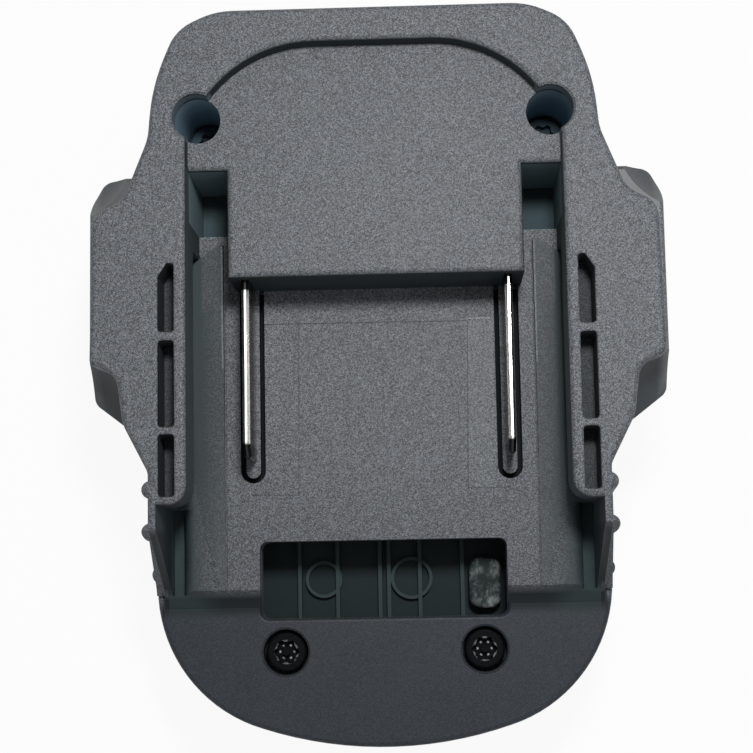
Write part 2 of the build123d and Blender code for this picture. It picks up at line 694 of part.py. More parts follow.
def release_button():
    """The right button: a hollow pad, the arm into the housing, and the leg with the hook."""
    arm = block((LEG_X[0], BUTTON_BACK_X + PAST), ARM_Y, ARM_Z)
    leg = block(LEG_X, LEG_Y, (HOOK_Z[0], ARM_Z[1]))
    hook_plan = Polyline(
        (LEG_X[0], LEG_Y[0]),
        (HOOK_TIP_X, LEG_Y[0]),
        (HOOK_TIP_X, HOOK_BLUNT_Y),
        (HOOK_HEEL_X, LEG_Y[1]),
        (LEG_X[0], LEG_Y[1]),
        close=True,
    )
    return button_pad() + arm + leg + prism(make_face(hook_plan), HOOK_Z)


def release_spring():
    """The right coil spring, as one wire of half turns along X."""
    start_x = EAR_WALL_HALF + SPRING_WIRE_R
    pitch = (SPRING_SEAT_X - EAR_WALL_HALF - 2 * SPRING_WIRE_R) / SPRING_TURNS
    arcs = []
    for n in range(2 * SPRING_TURNS):
        side = 1 if n % 2 == 0 else -1
        x = start_x + n * pitch / 2
        begin = (x, SPRING_Y + side * SPRING_R, SPRING_Z)
        middle = (x + pitch / 4, SPRING_Y, SPRING_Z + side * SPRING_R)
        end = (x + pitch / 2, SPRING_Y - side * SPRING_R, SPRING_Z)
        arcs.append(ThreePointArc(begin, middle, end))
    path = Wire(arcs)
    section = Plane(origin=path @ 0, z_dir=path % 0) * Circle(SPRING_WIRE_R)
    print("spring: least gap between turns", round(pitch - 2 * SPRING_WIRE_R, 2))
    return sweep(section, path=path)


def blade():
    """The right blade: a plate with a slanted, thinned tip and a tail for its wire."""
    low_z, high_z = BLADE_Z
    profile = outline([
        (BLADE_TIP_Y, low_z, 0.5),
        (BLADE_TIP_Y, high_z - 2.4, 0.8),
        (BLADE_TIP_Y + 2.0, high_z, 0.8),
        (BLADE_REAR_Y, high_z, 0.5),
        (BLADE_REAR_Y, TAIL_Z, 0.5),
        (TAIL_Y, TAIL_Z, 0.5),
        (TAIL_Y, low_z, 0.5),
    ])
    plate = extrude(Plane.YZ * profile, BLADE_T / 2, both=True)
    tip = plate.edges().filter_by(Axis.Z).filter_by_position(Axis.Y, BLADE_TIP_Y - 0.1, BLADE_TIP_Y + 0.1)
    return Pos(BLADE_X, 0, 0) * chamfer(tip, 0.4)


def blade_carrier():
    """The insulating block that holds both blades under the terminal block."""
    body = wide_block(CARRIER_HALF, CARRIER_Y, CARRIER_Z)
    body = fillet(body.edges().filter_by(Axis.Z), 1.0)
    body -= wide_block(CARRIER_POCKET_HALF, (CARRIER_Y[0] + 2.3, CARRIER_Y[1] - 2.8), (0, CARRIER_WALL_Z))
    half_t = BLADE_T / 2
    slot = block((BLADE_X - half_t, BLADE_X + half_t), (CARRIER_Y[0] - PAST, BLADE_REAR_Y), (0, BLADE_Z[1]))
    return body - pair(slot)


def circuit_board():
    """The board, with round holes for its screws."""
    board = wide_block(BOARD_HALF, BOARD_Y, (BOARD_UNDER_Z, BOARD_TOP_Z))
    board = fillet(board.edges().filter_by(Axis.Z), 1.0)
    for y in POST_Y:
        board -= pair(post(POST_X, y, BOARD_SCREW_R + 0.15, (BOARD_UNDER_Z - PAST, BOARD_TOP_Z + PAST)))
    return board


def power_transistor():
    """The flat power transistor below the board, with its tab and three legs."""
    low_z, high_z = BOARD_UNDER_Z - 4.4, BOARD_UNDER_Z - 0.2
    part = block((-4.0, 6.0), (-4.0, 4.6), (low_z, high_z))
    part += block((-4.0, 6.0), (4.6, 6.6), (high_z - 1.3, high_z))
    for x in (-1.5, 1.0, 3.5):
        part += block((x - 0.4, x + 0.4), (-8.0, -3.9), (high_z - 1.2, high_z + 0.1))
    return part


def board_capacitor():
    """The can capacitor lying below the board."""
    half = CAPACITOR_L / 2
    can = Cylinder(CAPACITOR_R, CAPACITOR_L)
    can = fillet(edges_at(can, half) + edges_at(can, -half), 0.5)
    return Pos(-9.6, 3.0, BOARD_UNDER_Z - CAPACITOR_R - 0.1) * Rot(90, 0, 0) * can


def control_chip():
    """The control chip above the board, with its legs on both sides."""
    body = block((-3.0, 3.0), (-6.0, -2.0), (BOARD_TOP_Z + 0.2, BOARD_TOP_Z + 1.7))
    for n in range(CHIP_LEGS):
        x = (n - (CHIP_LEGS - 1) / 2) * CHIP_LEG_PITCH
        body += block((x - 0.2, x + 0.2), (-7.0, -1.0), (BOARD_TOP_Z + 0.05, BOARD_TOP_Z + 0.9))
    return body


def board_resistors():
    """Small resistors in a row above the board."""
    z = (BOARD_TOP_Z + 0.05, BOARD_TOP_Z + 0.7)
    return [block((x - 0.8, x + 0.8), (3.0, 6.2), z) for x in RESISTOR_X]


def board_screw(x, y):
    """A small pan-head screw that holds the board from below, with a cross recess."""
    head_z = BOARD_UNDER_Z - 1.5
    shank = post(x, y, BOARD_SCREW_R, (BOARD_UNDER_Z - 0.1, FLOOR_Z - WALL - 0.6))
    head = post(x, y, BOARD_HEAD_R, (head_z, BOARD_UNDER_Z - 0.02))
    head = fillet(edges_at(head, head_z), 0.5)
    cross = Box(0.5, 2.2, 1.0) + Box(2.2, 0.5, 1.0)
    return head + shank - Pos(x, y, head_z) * cross


def case_screw(place, seat_z):
    """A six-lobe screw with a pin in the middle of its recess."""
    x, y = place
    top_z = seat_z + HEAD_H
    head = post(x, y, HEAD_R, (seat_z + 0.02, top_z))
    head = fillet(edges_at(head, top_z), 0.5)
    shank = post(x, y, SHANK_R, (SCREW_BOTTOM_Z, seat_z + 0.1))
    shank = chamfer(edges_at(shank, SCREW_BOTTOM_Z), 0.6)
    recess_z = (top_z - LOBE_DEPTH, top_z + PAST)
    recess = post(x, y, LOBE_R * 0.78, recess_z)
    for n in range(6):
        angle = math.radians(60 * n)
        lobe_x, lobe_y = x + LOBE_R * 0.72 * math.cos(angle), y + LOBE_R * 0.72 * math.sin(angle)
        recess += post(lobe_x, lobe_y, LOBE_R * 0.28, recess_z)
    pin = post(x, y, PIN_R, (recess_z[0] - 0.1, top_z - 0.3))
    return head + shank - recess + pin


def screw_pair(place, seat_z):
    """The right and left screw of one kind."""
    x, y = place
    return [case_screw((x, y), seat_z), case_screw((-x, y), seat_z)]


def fork(x, leaf):
    """A fork contact: two sprung leaves that close on the tool's contact, joined at the back."""
    back_y, leaf_y, front_y = FORK_Y
    leaf_z = (FORK_LOW_Z, TERMINAL_SLOT_Z)
    half = FORK_MOUTH_HALF
    right = block((x + half, x + half + leaf), (leaf_y, front_y), leaf_z)
    left = block((x - half - leaf, x - half), (leaf_y, front_y), leaf_z)
    back = block((x - half - leaf, x + half + leaf), (back_y, leaf_y), (FORK_LOW_Z, FORK_TAIL_Z))
    return right + left + back


def fork_carrier():
    """The insulating block that holds the five forks in the tower."""
    body = wide_block(21.6, (27.0, 40.0), (TERMINAL_SLOT_Z, FORK_CARRIER_Z))
    body = fillet(body.edges().filter_by(Axis.Z), EDGE_ROUND)
    for x in FORK_X:
        half = FORK_MOUTH_HALF + (POWER_LEAF if abs(x) == FORK_X[0] else SIGNAL_LEAF)
        body -= block((x - half, x + half), FORK_Y[:2], (TERMINAL_SLOT_Z - PAST, FORK_CARRIER_Z + PAST))
    return body


def wire(points, radius, corner):
    """A round wire through straight runs joined by arcs."""
    path = FilletPolyline(*points, radius=corner)
    section = Plane(origin=path @ 0, z_dir=path % 0) * Circle(radius)
    return sweep(section, path=path)


def power_lead(side):
    """The wire from one blade's tail down to its fork, right or left by the sign of side."""
    blade_x, fork_x = side * BLADE_X, side * FORK_X[0]
    points = [
        (blade_x, LEAD_Y, TAIL_Z),
        (blade_x, LEAD_Y, TAIL_Z - 2.0),
        (fork_x, FORK_TAIL_Y, FORK_TAIL_Z + 2.4),
        (fork_x, FORK_TAIL_Y, FORK_TAIL_Z),
    ]
    return wire(points, LEAD_R, LEAD_BEND)


def signal_lead(x):
    """A thin wire from the board's edge to a signal fork."""
    board_y = BOARD_Y[1] - 1.5
    level_z = FORK_TAIL_Z + 3.0
    points = [
        (x, board_y, BOARD_UNDER_Z),
        (x, board_y, level_z),
        (x, FORK_TAIL_Y, level_z),
        (x, FORK_TAIL_Y, FORK_TAIL_Z),
    ]
    return wire(points, SIGNAL_LEAD_R, SIGNAL_LEAD_BEND)


def nodes():
    """Every node's name with its solid or solids."""
    button, spring, right_blade = release_button(), release_spring(), blade()
    return {
        "socket_shell": socket_shell(),
        "tool_side_shell": tool_side_shell(),
        "right_release_button": button,
        "left_release_button": mirrored(button),
        "right_release_spring": spring,
        "left_release_spring": mirrored(spring),
        "positive_blade": right_blade,
        "negative_blade": mirrored(right_blade),
        "blade_carrier": blade_carrier(),
        "circuit_board": circuit_board(),
        "power_transistor": power_transistor(),
        "board_capacitor": board_capacitor(),
        "control_chip": control_chip(),
        "board_resistors": board_resistors(),
        "board_screws": [board_screw(x, y) for y in POST_Y for x in (POST_X, -POST_X)],
        "upper_case_screws": screw_pair(UPPER_SCREW, UPPER_SEAT_Z),
        "nose_case_screws": screw_pair(NOSE_SCREW, NOSE_SEAT_Z),
        "positive_fork": fork(FORK_X[0], POWER_LEAF),
        "negative_fork": fork(FORK_X[-1], POWER_LEAF),
        "signal_forks": [fork(x, SIGNAL_LEAF) for x in FORK_X[1:-1]],
        "fork_carrier": fork_carrier(),
        "positive_lead": power_lead(1),
        "negative_lead": power_lead(-1),
        "signal_leads": [signal_lead(x) for x in (FORK_X[1], FORK_X[3])],
    }


def main():
    """Write each node to its own file."""
    os.makedirs("parts", exist_ok=True)
    for name, shape in nodes().items():
        solids = shape if isinstance(shape, list) else [shape]
        export_step(Compound(children=solids) if len(solids) > 1 else solids[0], f"parts/{name}.step")


if __name__ == "__main__":
    main()
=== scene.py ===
"""Dress the slide-on battery adapter: its finishes, its fine pieces, the photograph's camera and a plain studio.

Metres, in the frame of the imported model: +X to the right, +Y from the round nose to the terminal block,
+Z out of the battery socket, with the origin under the middle of the tower.
"""

from __future__ import annotations

import json
import logging
import math
from collections.abc import Callable
from dataclasses import dataclass, fields, replace
from enum import Enum
from functools import wraps

import bmesh
import bpy
from mathutils import Matrix, Vector

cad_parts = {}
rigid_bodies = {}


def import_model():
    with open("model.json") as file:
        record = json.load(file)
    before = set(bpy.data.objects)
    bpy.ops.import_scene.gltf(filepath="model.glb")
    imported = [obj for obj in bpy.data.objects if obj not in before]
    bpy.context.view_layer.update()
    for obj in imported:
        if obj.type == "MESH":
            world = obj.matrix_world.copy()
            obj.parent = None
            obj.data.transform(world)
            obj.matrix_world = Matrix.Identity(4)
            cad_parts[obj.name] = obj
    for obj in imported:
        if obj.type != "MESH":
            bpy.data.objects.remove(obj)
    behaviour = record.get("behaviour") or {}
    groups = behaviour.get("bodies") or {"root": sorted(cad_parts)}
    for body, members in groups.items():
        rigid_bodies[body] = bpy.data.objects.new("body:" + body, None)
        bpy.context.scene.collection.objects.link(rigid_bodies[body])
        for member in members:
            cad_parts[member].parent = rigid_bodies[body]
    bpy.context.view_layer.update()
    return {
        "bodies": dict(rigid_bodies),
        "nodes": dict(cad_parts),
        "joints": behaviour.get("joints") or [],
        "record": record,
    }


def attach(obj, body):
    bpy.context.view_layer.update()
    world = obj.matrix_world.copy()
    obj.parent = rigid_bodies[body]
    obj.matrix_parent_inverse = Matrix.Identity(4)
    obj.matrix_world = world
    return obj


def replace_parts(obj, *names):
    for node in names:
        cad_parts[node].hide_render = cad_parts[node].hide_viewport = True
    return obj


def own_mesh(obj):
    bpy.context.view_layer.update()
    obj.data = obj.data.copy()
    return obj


LOG = logging.getLogger("adapter")
MM = 0.001
FAR_MM = 300.0
SOCKET_FLOOR_Z = 29.5

Colour = tuple[float, float, float]
Place = tuple[float, float, float]


class Side(Enum):
    """The two mirrored halves of the adapter, by the sign of X."""

    RIGHT = 1
    LEFT = -1


class Backdrop(Enum):
    """How strongly the surroundings show to each kind of ray."""

    SEEN = 1.0
    LIGHTING = 0.2


def rgba(colour: Colour) -> tuple[float, float, float, float]:
    """A colour with full opacity."""
    return (*colour, 1.0)


class NodeSheet:
    """A node tree that is filled in from left to right."""

    def __init__(self, tree: bpy.types.NodeTree) -> None:
        """Keep the node tree to fill."""
        self.tree = tree

    def feed(self, socket: bpy.types.NodeSocket, value: object) -> None:
        """Give an input a link or a fixed value.

        Args:
            socket: The input.
            value: An output socket to link, or a number, vector or colour.
        """
        if isinstance(value, bpy.types.NodeSocket):
            self.tree.links.new(value, socket)
        else:
            socket.default_value = value

    def add(self, kind: str, inputs: dict[str | int, object] | None = None, **settings: object) -> bpy.types.Node:
        """Add one node.

        Args:
            kind: The node's type.
            inputs: What each input gets, by name or number.
            settings: The node's own properties.

        Returns:
            The new node.
        """
        node = self.tree.nodes.new(kind)
        for name, value in settings.items():
            setattr(node, name, value)
        for key, value in (inputs or {}).items():
            self.feed(node.inputs[key], value)
        return node

    def math(self, operation: str, first: object, second: object = 0.0, clamp: bool = False) -> bpy.types.NodeSocket:
        """The result of a sum on two values."""
        return self.add("ShaderNodeMath", {0: first, 1: second}, operation=operation, use_clamp=clamp).outputs[0]

    def vector_math(self, operation: str, first: object, second: object) -> bpy.types.Node:
        """A sum on two vectors."""
        return self.add("ShaderNodeVectorMath", {0: first, 1: second}, operation=operation)

    def grey(self, value: object) -> bpy.types.NodeSocket:
        """A colour with the same value in all three channels."""
        return self.add("ShaderNodeCombineColor", {0: value, 1: value, 2: value}).outputs[0]

    def mix(self, factor: object, first: object, second: object, blend: str = "MIX") -> bpy.types.NodeSocket:
        """A blend of two colours, where the factor is how much of the second one shows."""
        node = self.add("ShaderNodeMix", {0: factor, 6: first, 7: second}, data_type="RGBA", blend_type=blend)
        return node.outputs[2]

    def ramp(
        self, value: object, low: float, high: float, to_low: float = 0.0, to_high: float = 1.0
    ) -> bpy.types.NodeSocket:
        """A smooth step of a value from one span to another.

        Args:
            value: The value.
            low: Where the step starts.
            high: Where it ends.
            to_low: What the result is at its start.
            to_high: What it is at its end.

        Returns:
            The result.
        """
        spans = {"From Min": low, "From Max": high, "To Min": to_low, "To Max": to_high}
        node = self.add("ShaderNodeMapRange", {"Value": value, **spans}, interpolation_type="SMOOTHSTEP")
        return node.outputs[0]

    def noise(self, vector: object, size_mm: float, detail: float = 2.0, rough: float = 0.5) -> bpy.types.NodeSocket:
        """A cloudy value around 0.5, with blots of a given size and a number of finer layers of a given strength."""
        values = {"Vector": vector, "Scale": 1.0 / (size_mm * MM), "Detail": detail, "Roughness": rough}
        return self.add("ShaderNodeTexNoise", values).outputs["Fac"]


def built_once(make: Callable[[type], bpy.types.NodeTree]) -> Callable[[type], bpy.types.NodeTree]:
    """Make a group at its first use only, under the name of the method that makes it.

    Args:
        make: The method that makes the group.

    Returns:
        The method that finds the group or makes it.
    """

    @wraps(make)
    def found_or_made(cls: type) -> bpy.types.NodeTree:
        """The group, made if it isn't there yet."""
        found = bpy.data.node_groups.get(make.__name__)
        return make(cls) if found is None else found

    return found_or_made


class EffectGroups:
    """The shader node groups that several finishes share, each built once."""

    cell_contrast: float = 1.6
    cell_middle: float = 0.46
    blot_scale: float = 0.3
    blot_share: float = 0.15
    face_slopes: tuple[float, float] = (0.2, 0.7)
    line_core: float = 0.35
    scratch_span: tuple[float, float] = (0.4, 0.72)

    @staticmethod
    def _start(
        name: str, inputs: dict[str, str], outputs: list[str]
    ) -> tuple[NodeSheet, bpy.types.Node, bpy.types.Node]:
        """An empty group with its sockets.

        Args:
            name: The group's name.
            inputs: The kind of each input, by its name.
            outputs: The names of the value outputs.

        Returns:
            The group's sheet, its input node and its output node.
        """
        tree = bpy.data.node_groups.new(name, "ShaderNodeTree")
        for label, kind in inputs.items():
            tree.interface.new_socket(name=label, in_out="INPUT", socket_type=f"NodeSocket{kind}")
        for label in outputs:
            tree.interface.new_socket(name=label, in_out="OUTPUT", socket_type="NodeSocketFloat")
        sheet = NodeSheet(tree)
        return sheet, sheet.add("NodeGroupInput"), sheet.add("NodeGroupOutput")

    @classmethod
    @built_once
    def mould_grain(cls) -> bpy.types.NodeTree:
        """Fine moulded grain: a tone for each tiny cell of the surface, and its height.

        Returns:
            The group.
        """
        sheet, given, out = cls._start(
            "mould_grain", {"Vector": "Vector", "Per Metre": "Float"}, ["Speckle", "Height"]
        )
        vector, scale = given.outputs["Vector"], given.outputs["Per Metre"]
        cells = sheet.add("ShaderNodeTexVoronoi", {"Vector": vector, "Scale": scale})
        tone = sheet.add("ShaderNodeSeparateColor", {0: cells.outputs["Color"]}).outputs[0]
        blots = {"Scale": sheet.math("MULTIPLY", scale, cls.blot_scale), "Detail": 3.0, "Roughness": 0.7}
        wide = sheet.add("ShaderNodeTexNoise", {"Vector": vector, **blots})
        cell_tone = sheet.math("POWER", tone, cls.cell_contrast)
        speckle = sheet.math("ADD", cell_tone, sheet.math("MULTIPLY", wide.outputs["Fac"], cls.blot_share))
        sheet.feed(out.inputs["Speckle"], sheet.math("SUBTRACT", speckle, cls.cell_middle))
        fine = sheet.add("ShaderNodeTexNoise", {"Vector": vector, "Scale": scale, "Detail": 2.0, "Roughness": 0.6})
        sheet.feed(out.inputs["Height"], sheet.math("SUBTRACT", fine.outputs["Fac"], cells.outputs["Distance"]))
        return sheet.tree

    @classmethod
    @built_once
    def flat_faces(cls) -> bpy.types.NodeTree:
        """Where a surface lies level, and not along the mould's draw.

        Returns:
            The group.
        """
        sheet, given, out = cls._start("flat_faces", {"Normal": "Vector"}, ["Mask"])
        parts = sheet.add("ShaderNodeSeparateXYZ", {0: given.outputs["Normal"]})
        upright = sheet.math("ABSOLUTE", parts.outputs["Z"])
        sheet.feed(out.inputs["Mask"], sheet.ramp(upright, *cls.face_slopes))
        return sheet.tree

    @classmethod
    @built_once
    def box_region(cls) -> bpy.types.NodeTree:
        """A soft-edged box between two corners.

        Returns:
            The group.
        """
        kinds = {"Vector": "Vector", "Low": "Vector", "High": "Vector", "Softness": "Float"}
        sheet, given, out = cls._start("box_region", kinds, ["Mask"])
        above = sheet.vector_math("SUBTRACT", given.outputs["Vector"], given.outputs["Low"]).outputs[0]
        below = sheet.vector_math("SUBTRACT", given.outputs["High"], given.outputs["Vector"]).outputs[0]
        nearest = sheet.vector_math("MINIMUM", above, below).outputs[0]
        parts = sheet.add("ShaderNodeSeparateXYZ", {0: nearest})
        depth = sheet.math("MINIMUM", parts.outputs["X"], parts.outputs["Y"])
        depth = sheet.math("MINIMUM", depth, parts.outputs["Z"])
        depth = sheet.math("DIVIDE", depth, given.outputs["Softness"])
        sheet.feed(out.inputs["Mask"], sheet.math("ADD", depth, 0.5, clamp=True))
        return sheet.tree

    @classmethod
    @built_once
    def line_mark(cls) -> bpy.types.NodeTree:
        """A thin line on a level face, between two places.

        Returns:
            The group.
        """
        kinds = {"Vector": "Vector", "Start": "Vector", "End": "Vector", "Width": "Float"}
        sheet, given, out = cls._start("line_mark", kinds, ["Mask"])
        run = sheet.vector_math("SUBTRACT", given.outputs["End"], given.outputs["Start"]).outputs[0]
        away = sheet.vector_math("SUBTRACT", given.outputs["Vector"], given.outputs["Start"]).outputs[0]
        along = sheet.vector_math("DOT_PRODUCT", away, run).outputs["Value"]
        whole = sheet.vector_math("DOT_PRODUCT", run, run).outputs["Value"]
        share = sheet.math("DIVIDE", along, whole, clamp=True)
        foot = sheet.add("ShaderNodeVectorMath", {0: run, "Scale": share}, operation="SCALE").outputs[0]
        gap = sheet.vector_math("DISTANCE", away, foot).outputs["Value"]
        near = sheet.math("DIVIDE", gap, given.outputs["Width"])
        sheet.feed(out.inputs["Mask"], sheet.ramp(near, 1.0, cls.line_core))
        return sheet.tree

    @classmethod
    @built_once
    def fine_scratches(cls) -> bpy.types.NodeTree:
        """Fine lines along the longer way of a stretched pattern, as rolling and polishing leave them.

        Returns:
            The group.
        """
        kinds = {"Vector": "Vector", "Stretch": "Vector"}
        sheet, given, out = cls._start("fine_scratches", kinds, ["Mask", "Height"])
        stretched = sheet.vector_math("MULTIPLY", given.outputs["Vector"], given.outputs["Stretch"]).outputs[0]
        lines = sheet.noise(stretched, 1.0, 4.0, 0.7)
        sheet.feed(out.inputs["Mask"], sheet.ramp(lines, *cls.scratch_span))
        sheet.feed(out.inputs["Height"], lines)
        return sheet.tree


class Finish:
    """The start of every finish: a material with its shader, its coordinates and its groups."""

    @staticmethod
    def start(name: str) -> tuple[bpy.types.Material, NodeSheet, bpy.types.Node, bpy.types.Node]:
        """A new material with an empty shader.

        Args:
            name: The material's name.

        Returns:
            The material, its sheet, its shader and its texture coordinates.
        """
        material = bpy.data.materials.new(name)
        material.use_nodes = True
        sheet = NodeSheet(material.node_tree)
        sheet.tree.nodes.clear()
        shader = sheet.add("ShaderNodeBsdfPrincipled")
        sheet.add("ShaderNodeOutputMaterial", {"Surface": shader.outputs[0]})
        return material, sheet, shader, sheet.add("ShaderNodeTexCoord")

    @staticmethod
    def group(sheet: NodeSheet, tree: bpy.types.NodeTree, inputs: dict[str, object]) -> bpy.types.Node:
        """Place a shared group in a material.

        Args:
            sheet: The material's sheet.
            tree: The group.
            inputs: What each of its inputs gets.

        Returns:
            The group's node.
        """
        node = sheet.add("ShaderNodeGroup")
        node.node_tree = tree
        for key, value in inputs.items():
            sheet.feed(node.inputs[key], value)
        return node

    @classmethod
    def box(
        cls, sheet: NodeSheet, place: object, low: Place, high: Place, softness: float
    ) -> bpy.types.NodeSocket:
        """Where a place lies in a box, whose two corners and soft edges are given in millimetres."""
        corners = {"Low": [v * MM for v in low], "High": [v * MM for v in high], "Softness": softness * MM}
        return cls.group(sheet, EffectGroups.box_region(), {"Vector": place, **corners}).outputs["Mask"]

    @staticmethod
    def bump(sheet: NodeSheet, shader: bpy.types.Node, height: object, depth_mm: float, strength: float) -> None:
        """Raise the shader's surface by a height, of which 1 stands for the depth."""
        node = sheet.add("ShaderNodeBump", {"Strength": strength, "Distance": depth_mm * MM, "Height": height})
        sheet.feed(shader.inputs["Normal"], node.outputs[0])


@dataclass(frozen=True)
class SmoothArea:
    """A box of the surface with its own colour, roughness and share of grain: a smoother finish on a few areas,
    painted shade or painted light on most.

    Its edges are soft, apart from its reach, the furthest that it goes from the centre plane. Lengths are in
    millimetres. A paired area has a mirrored twin on the other half.
    """

    low: Place
    high: Place
    colour: Colour
    roughness: float
    softness: float = 0.6
    grain: float = 0.3
    smear: float = 0.0
    reach: float = 100.0
    paired: bool = False

    def mirrored(self) -> SmoothArea:
        """The same area on the other half."""
        low, high = (-self.high[0], *self.low[1:]), (-self.low[0], *self.high[1:])
        return replace(self, low=low, high=high)


@dataclass(frozen=True)
class AreaPlan:
    """The finish and painted-light areas of one moulding, by name, laid on in the order of the fields."""

    def every(self) -> tuple[SmoothArea, ...]:
        """All the areas in the order that they are laid on, with the mirrored twins of the paired ones at the end."""
        areas = tuple(getattr(self, field.name) for field in fields(self))
        return (*areas, *(area.mirrored() for area in areas if area.paired))


@dataclass(frozen=True)
class SocketAreas(AreaPlan):
    """Where the socket shell is smoother than its grain, and where painted shade darkens it or painted light lifts
    it.
    """

    # Painted shade: the shell darker towards the nose, standing in for light that falls off away from the lamp.
    front: SmoothArea = SmoothArea((-60.0, -90.0, -10.0), (60.0, -22.0, 70.0), (0.086, 0.093, 0.103), 0.42, 18.0, 1.0)
    # Painted shade: the nose plate painted much darker, standing in for the lesser light it gets.
    nose: SmoothArea = SmoothArea((-36.0, -56.0, 27.1), (36.0, -33.0, 29.2), (0.027, 0.032, 0.039), 0.42, 1.4, 0.5)
    # Painted shade: the step down to the nose, which faces away from the lamp, painted near black.
    step: SmoothArea = SmoothArea(
        (-34.0, -34.6, 27.4), (34.0, -31.5, 29.3), (0.004, 0.007, 0.009), 0.6, 1.5, 0.3, reach=33.8
    )
    floor_insert: SmoothArea = SmoothArea(
        (13.3, -16.1, 29.3), (17.4, 9.6, 29.6), (0.113, 0.123, 0.134), 0.38, 0.15, 0.8
    )
    guide_strip: SmoothArea = SmoothArea(
        (23.7, -31.4, 29.58), (31.5, 22.4, 31.9), (0.082, 0.092, 0.098), 0.38, 0.25, 0.5, paired=True
    )
    # Painted shade: darker from the guide strips out into the grooves under the lips, which shade them.
    rail_groove: SmoothArea = SmoothArea(
        (27.6, -34.0, 24.0), (37.0, 10.0, 37.0), (0.022, 0.034, 0.037), 0.6, 5.5, 0.2, reach=32.8, paired=True
    )
    # Painted light: the lips' inner walls lifted above the dark inner-wall tone, standing in for light that they
    # don't get.
    lip_wall: SmoothArea = SmoothArea(
        (27.2, -19.0, 29.7), (28.9, 31.0, 44.3), (0.05, 0.066, 0.07), 0.7, 0.4, 0.2, paired=True
    )
    # Painted shade: the floors of the slots in the lips painted darker.
    lip_slots: SmoothArea = SmoothArea(
        (29.2, -17.7, 38.0), (32.1, 17.0, 44.0), (0.04, 0.046, 0.051), 0.6, 0.5, 0.8, paired=True
    )
    # Painted shade: the deep gap around each blade carrier painted near black.
    blade_trench: SmoothArea = SmoothArea(
        (17.5, -15.2, 26.9), (21.7, 14.7, 29.05), (0.005, 0.007, 0.008), 0.8, 0.1, 0.1, paired=True
    )
    # Painted light: the pocket walls painted a pale blue, so that the shaded pocket reads an even dark navy.
    pocket_walls: SmoothArea = SmoothArea(
        (21.95, 23.6, 25.2), (27.7, 31.1, 41.0), (0.28, 0.4, 0.45), 0.9, 0.3, 0.1, paired=True
    )
    # Painted shade: the pocket floor painted darker.
    pocket_floor: SmoothArea = SmoothArea(
        (21.95, 23.6, 24.0), (27.7, 31.1, 25.0), (0.05, 0.075, 0.085), 0.9, 0.3, 0.1, paired=True
    )
    # Painted light: the bore walls painted a pale blue, so that the deep, shaded bore reads an even navy.
    screw_bore: SmoothArea = SmoothArea(
        (22.6, 35.1, 17.0), (29.8, 42.3, 41.6), (0.2, 0.29, 0.36), 0.9, 0.3, 0.1, paired=True
    )
    # Painted light: the upper wall of the bore lifted out of its shade.
    bore_mouth: SmoothArea = SmoothArea(
        (22.6, 35.1, 42.25), (29.8, 42.3, 44.2), (0.12, 0.17, 0.2), 0.9, 0.3, 0.1, paired=True
    )
    # Painted shade: the nose screws' counterbores painted near black.
    nose_counterbore: SmoothArea = SmoothArea(
        (11.3, -44.2, 20.0), (18.9, -36.6, 27.4), (0.01, 0.014, 0.016), 0.6, 0.3, 0.2, paired=True
    )
    # Painted shade: the channels ahead of the lips painted dark.
    side_channel: SmoothArea = SmoothArea(
        (30.2, -31.8, 20.0), (32.5, -18.5, 29.0), (0.036, 0.054, 0.058), 0.7, 0.5, 0.2, paired=True
    )
    # Painted shade: the slopes at the front ends of the lips painted near black.
    lip_end: SmoothArea = SmoothArea(
        (32.0, -33.0, 29.4), (35.6, -22.4, 44.0), (0.01, 0.014, 0.016), 0.5, 1.4, 0.3, reach=33.3, paired=True
    )


@dataclass(frozen=True)
class ToolSideAreas(AreaPlan):
    """Where the tool side's inner floor is smoother and painted darker, the rib tops painted lighter, and the stub
    with bright streaky patches that shows in the latch window.
    """

    # Smoother finish and painted shade: the deep inner floor under the latch window painted dark.
    inner_floor: SmoothArea = SmoothArea(
        (-24.0, -46.0, 15.5), (24.0, 44.0, 21.9), (0.017, 0.026, 0.028), 0.4, 0.4, 0.05
    )
    # Painted highlight: the rib tops painted lighter, as thin lines of light.
    rib_tops: SmoothArea = SmoothArea((-24.0, -38.0, 17.2), (13.0, -20.0, 18.2), (0.04, 0.058, 0.058), 0.4, 0.3, 0.1)
    # Bright streaky patches painted on the stub, where it looks bright and smeared.
    stub: SmoothArea = SmoothArea(
        (13.0, -34.6, 17.2), (18.2, -26.2, 20.5), (0.02, 0.028, 0.028), 0.35, 0.3, 0.1, smear=0.9
    )


@dataclass(frozen=True)
class ButtonAreas(AreaPlan):
    """Where the release buttons' scoops are smoother and darker, partly with painted shade under the flange, and a
    painted sheen on their upper rim.
    """

    # Both scoops: a smoother finish, with painted shade next to the flange, which shades them.
    back_scoop: SmoothArea = SmoothArea(
        (35.0, 25.0, 33.5), (43.6, 33.0, 39.6), (0.055, 0.062, 0.066), 0.4, 1.2, 0.3, paired=True
    )
    front_scoop: SmoothArea = SmoothArea(
        (35.0, -8.0, 31.0), (43.6, 2.6, 39.6), (0.022, 0.028, 0.032), 0.36, 1.2, 0.2, paired=True
    )
    # Painted sheen: the upper rim painted paler, where it catches the light.
    upper_rim: SmoothArea = SmoothArea(
        (42.3, -9.0, 34.0), (45.0, 33.0, 38.4), (0.13, 0.139, 0.143), 0.5, 1.6, 0.6, paired=True
    )


@dataclass(frozen=True)
class WitnessMark:
    """A thin line on a level face, in millimetres: a dark line, most of them left by the mould's inserts, or a
    painted highlight where its shade is above 1.
    """

    start: Place
    end: Place
    shade: float
    width: float = 0.13


